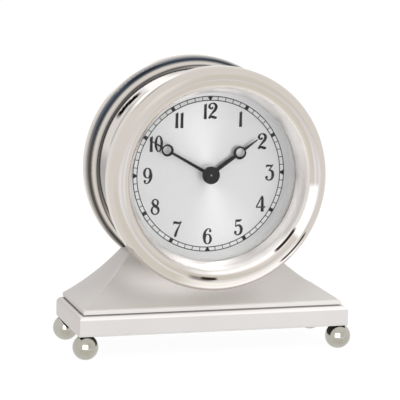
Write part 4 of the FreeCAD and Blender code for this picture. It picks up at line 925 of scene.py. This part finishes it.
ROOM = (0.88, 0.875, 0.87)
PANELS = [
    # azimuth, elevation, half width, half height, softness, colour
    (24, 16, 10, 18, 14, (0.79, 0.79, 0.745)),
    (-10, -40, 50, 20, 20, (0.82, 0.81, 0.76)),
    (15, -11, 30, 3, 7, (1.0, 1.02, 1.08)),
    (-20, 36, 12, 8, 10, (1.0, 0.99, 0.98)),
    (-178, 19, 6, 4, 5, (1.3, 1.3, 1.32)),
    (-163, 30, 8, 6, 6, (0.45, 0.45, 0.46)),
]


def make_world():
    """A light tent: nearly even, with a few brighter and darker panels that draw bands on the metal."""
    world = bpy.data.worlds.new("light_tent")
    bpy.context.scene.world = world
    world.use_nodes = True
    sky = Nodes(world.node_tree)
    place = sky.node("ShaderNodeTexCoord").outputs["Generated"]
    direction = sky.node("ShaderNodeSeparateXYZ", Vector=place).outputs
    colour = ROOM
    for *window, tint in PANELS:
        colour = sky.mixed(panel(sky, direction, *window), colour, tint)
    background = world.node_tree.nodes["Background"]
    sky.plug(background.inputs["Color"], colour)
    background.inputs["Strength"].default_value = 1.0


FLOOR_HALF = 6.0
FLOOR_GREY = (0.08, 0.08, 0.08, 1)
FLOOR_GLOW = 0.96


def make_floor():
    """A plain white floor. Most of its white is its own glow, so it shows only a trace of contact shadow, and
    metal doesn't reflect it."""
    half = FLOOR_HALF
    corners = [(-half, -half, 0), (half, -half, 0), (half, half, 0), (-half, half, 0)]
    mesh = bpy.data.meshes.new("floor")
    mesh.from_pydata(corners, [], [(0, 1, 2, 3)])
    floor = bpy.data.objects.new("floor", mesh)
    bpy.context.scene.collection.objects.link(floor)
    material = bpy.data.materials.new("white_floor")
    material.use_nodes = True
    surface = material.node_tree.nodes["Principled BSDF"]
    surface.inputs["Base Color"].default_value = FLOOR_GREY
    surface.inputs["Roughness"].default_value = 0.9
    surface.inputs["Specular IOR Level"].default_value = 0.0
    surface.inputs["Emission Color"].default_value = (1, 1, 1, 1)
    surface.inputs["Emission Strength"].default_value = FLOOR_GLOW
    mesh.materials.append(material)
    floor.visible_glossy = False


LIGHTS_AIM = Vector((0, 0, 0.09))


def add_light(name, place, width, height, power, colour=WHITE):
    """A soft rectangular light that faces the clock and doesn't show in the metal."""
    data = bpy.data.lights.new(name, "AREA")
    data.shape = "RECTANGLE"
    data.size = width
    data.size_y = height
    data.energy = power
    data.color = colour
    lamp = bpy.data.objects.new(name, data)
    bpy.context.scene.collection.objects.link(lamp)
    lamp.location = place
    lamp.rotation_mode = "QUATERNION"
    lamp.rotation_quaternion = (LIGHTS_AIM - Vector(place)).to_track_quat("-Z", "Y")
    lamp.visible_glossy = False
    return lamp


def make_lights():
    """Two lights for the whole clock, and a window in front that only the ball feet receive and reflect."""
    add_light("key", (0.9, -1.5, 1.6), 1.2, 1.2, 14.0, (1.0, 0.99, 0.97))
    add_light("fill", (-1.4, -1.2, 0.9), 1.2, 1.2, 5.0, (0.98, 0.99, 1.0))
    window_light = add_light("window", (-0.30, -1.0, 0.22), 0.95, 0.75, 5.0)
    window_light.visible_glossy = True
    window_light.visible_camera = False
    feet = bpy.data.collections.new("feet")
    for name, foot in frame["nodes"].items():
        if name.startswith("ball_foot"):
            feet.objects.link(foot)
    window_light.light_linking.receiver_collection = feet


# Found by fitting a camera to the photo: its lens for a 36 mm sensor, and its place and directions in metres.
LENS = 210.98
SENSOR = 36.0
EYE = Vector((-0.36442, -1.24897, 0.30904))
FORWARD = Vector((0.27437, 0.94624, -0.17134))
RIGHT = Vector((0.96120, -0.27514, 0.01973))


def make_camera():
    """A long lens, to the left of the dial's axis and looking down on it."""
    data = bpy.data.cameras.new("camera")
    camera = bpy.data.objects.new("camera", data)
    bpy.context.scene.collection.objects.link(camera)
    data.sensor_width = SENSOR
    data.lens = LENS
    data.clip_start = 0.05
    data.clip_end = 50.0
    forward = FORWARD.normalized()
    right = (RIGHT - RIGHT.dot(forward) * forward).normalized()
    up = right.cross(forward)
    turn = Matrix((right, up, -forward)).transposed()
    camera.matrix_world = Matrix.Translation(EYE) @ turn.to_4x4()
    bpy.context.scene.camera = camera


bpy.context.scene.view_settings.view_transform = "Standard"
dress_cad_nodes()
print_dial()
make_hub_pin()
make_world()
make_floor()
make_lights()
make_camera()
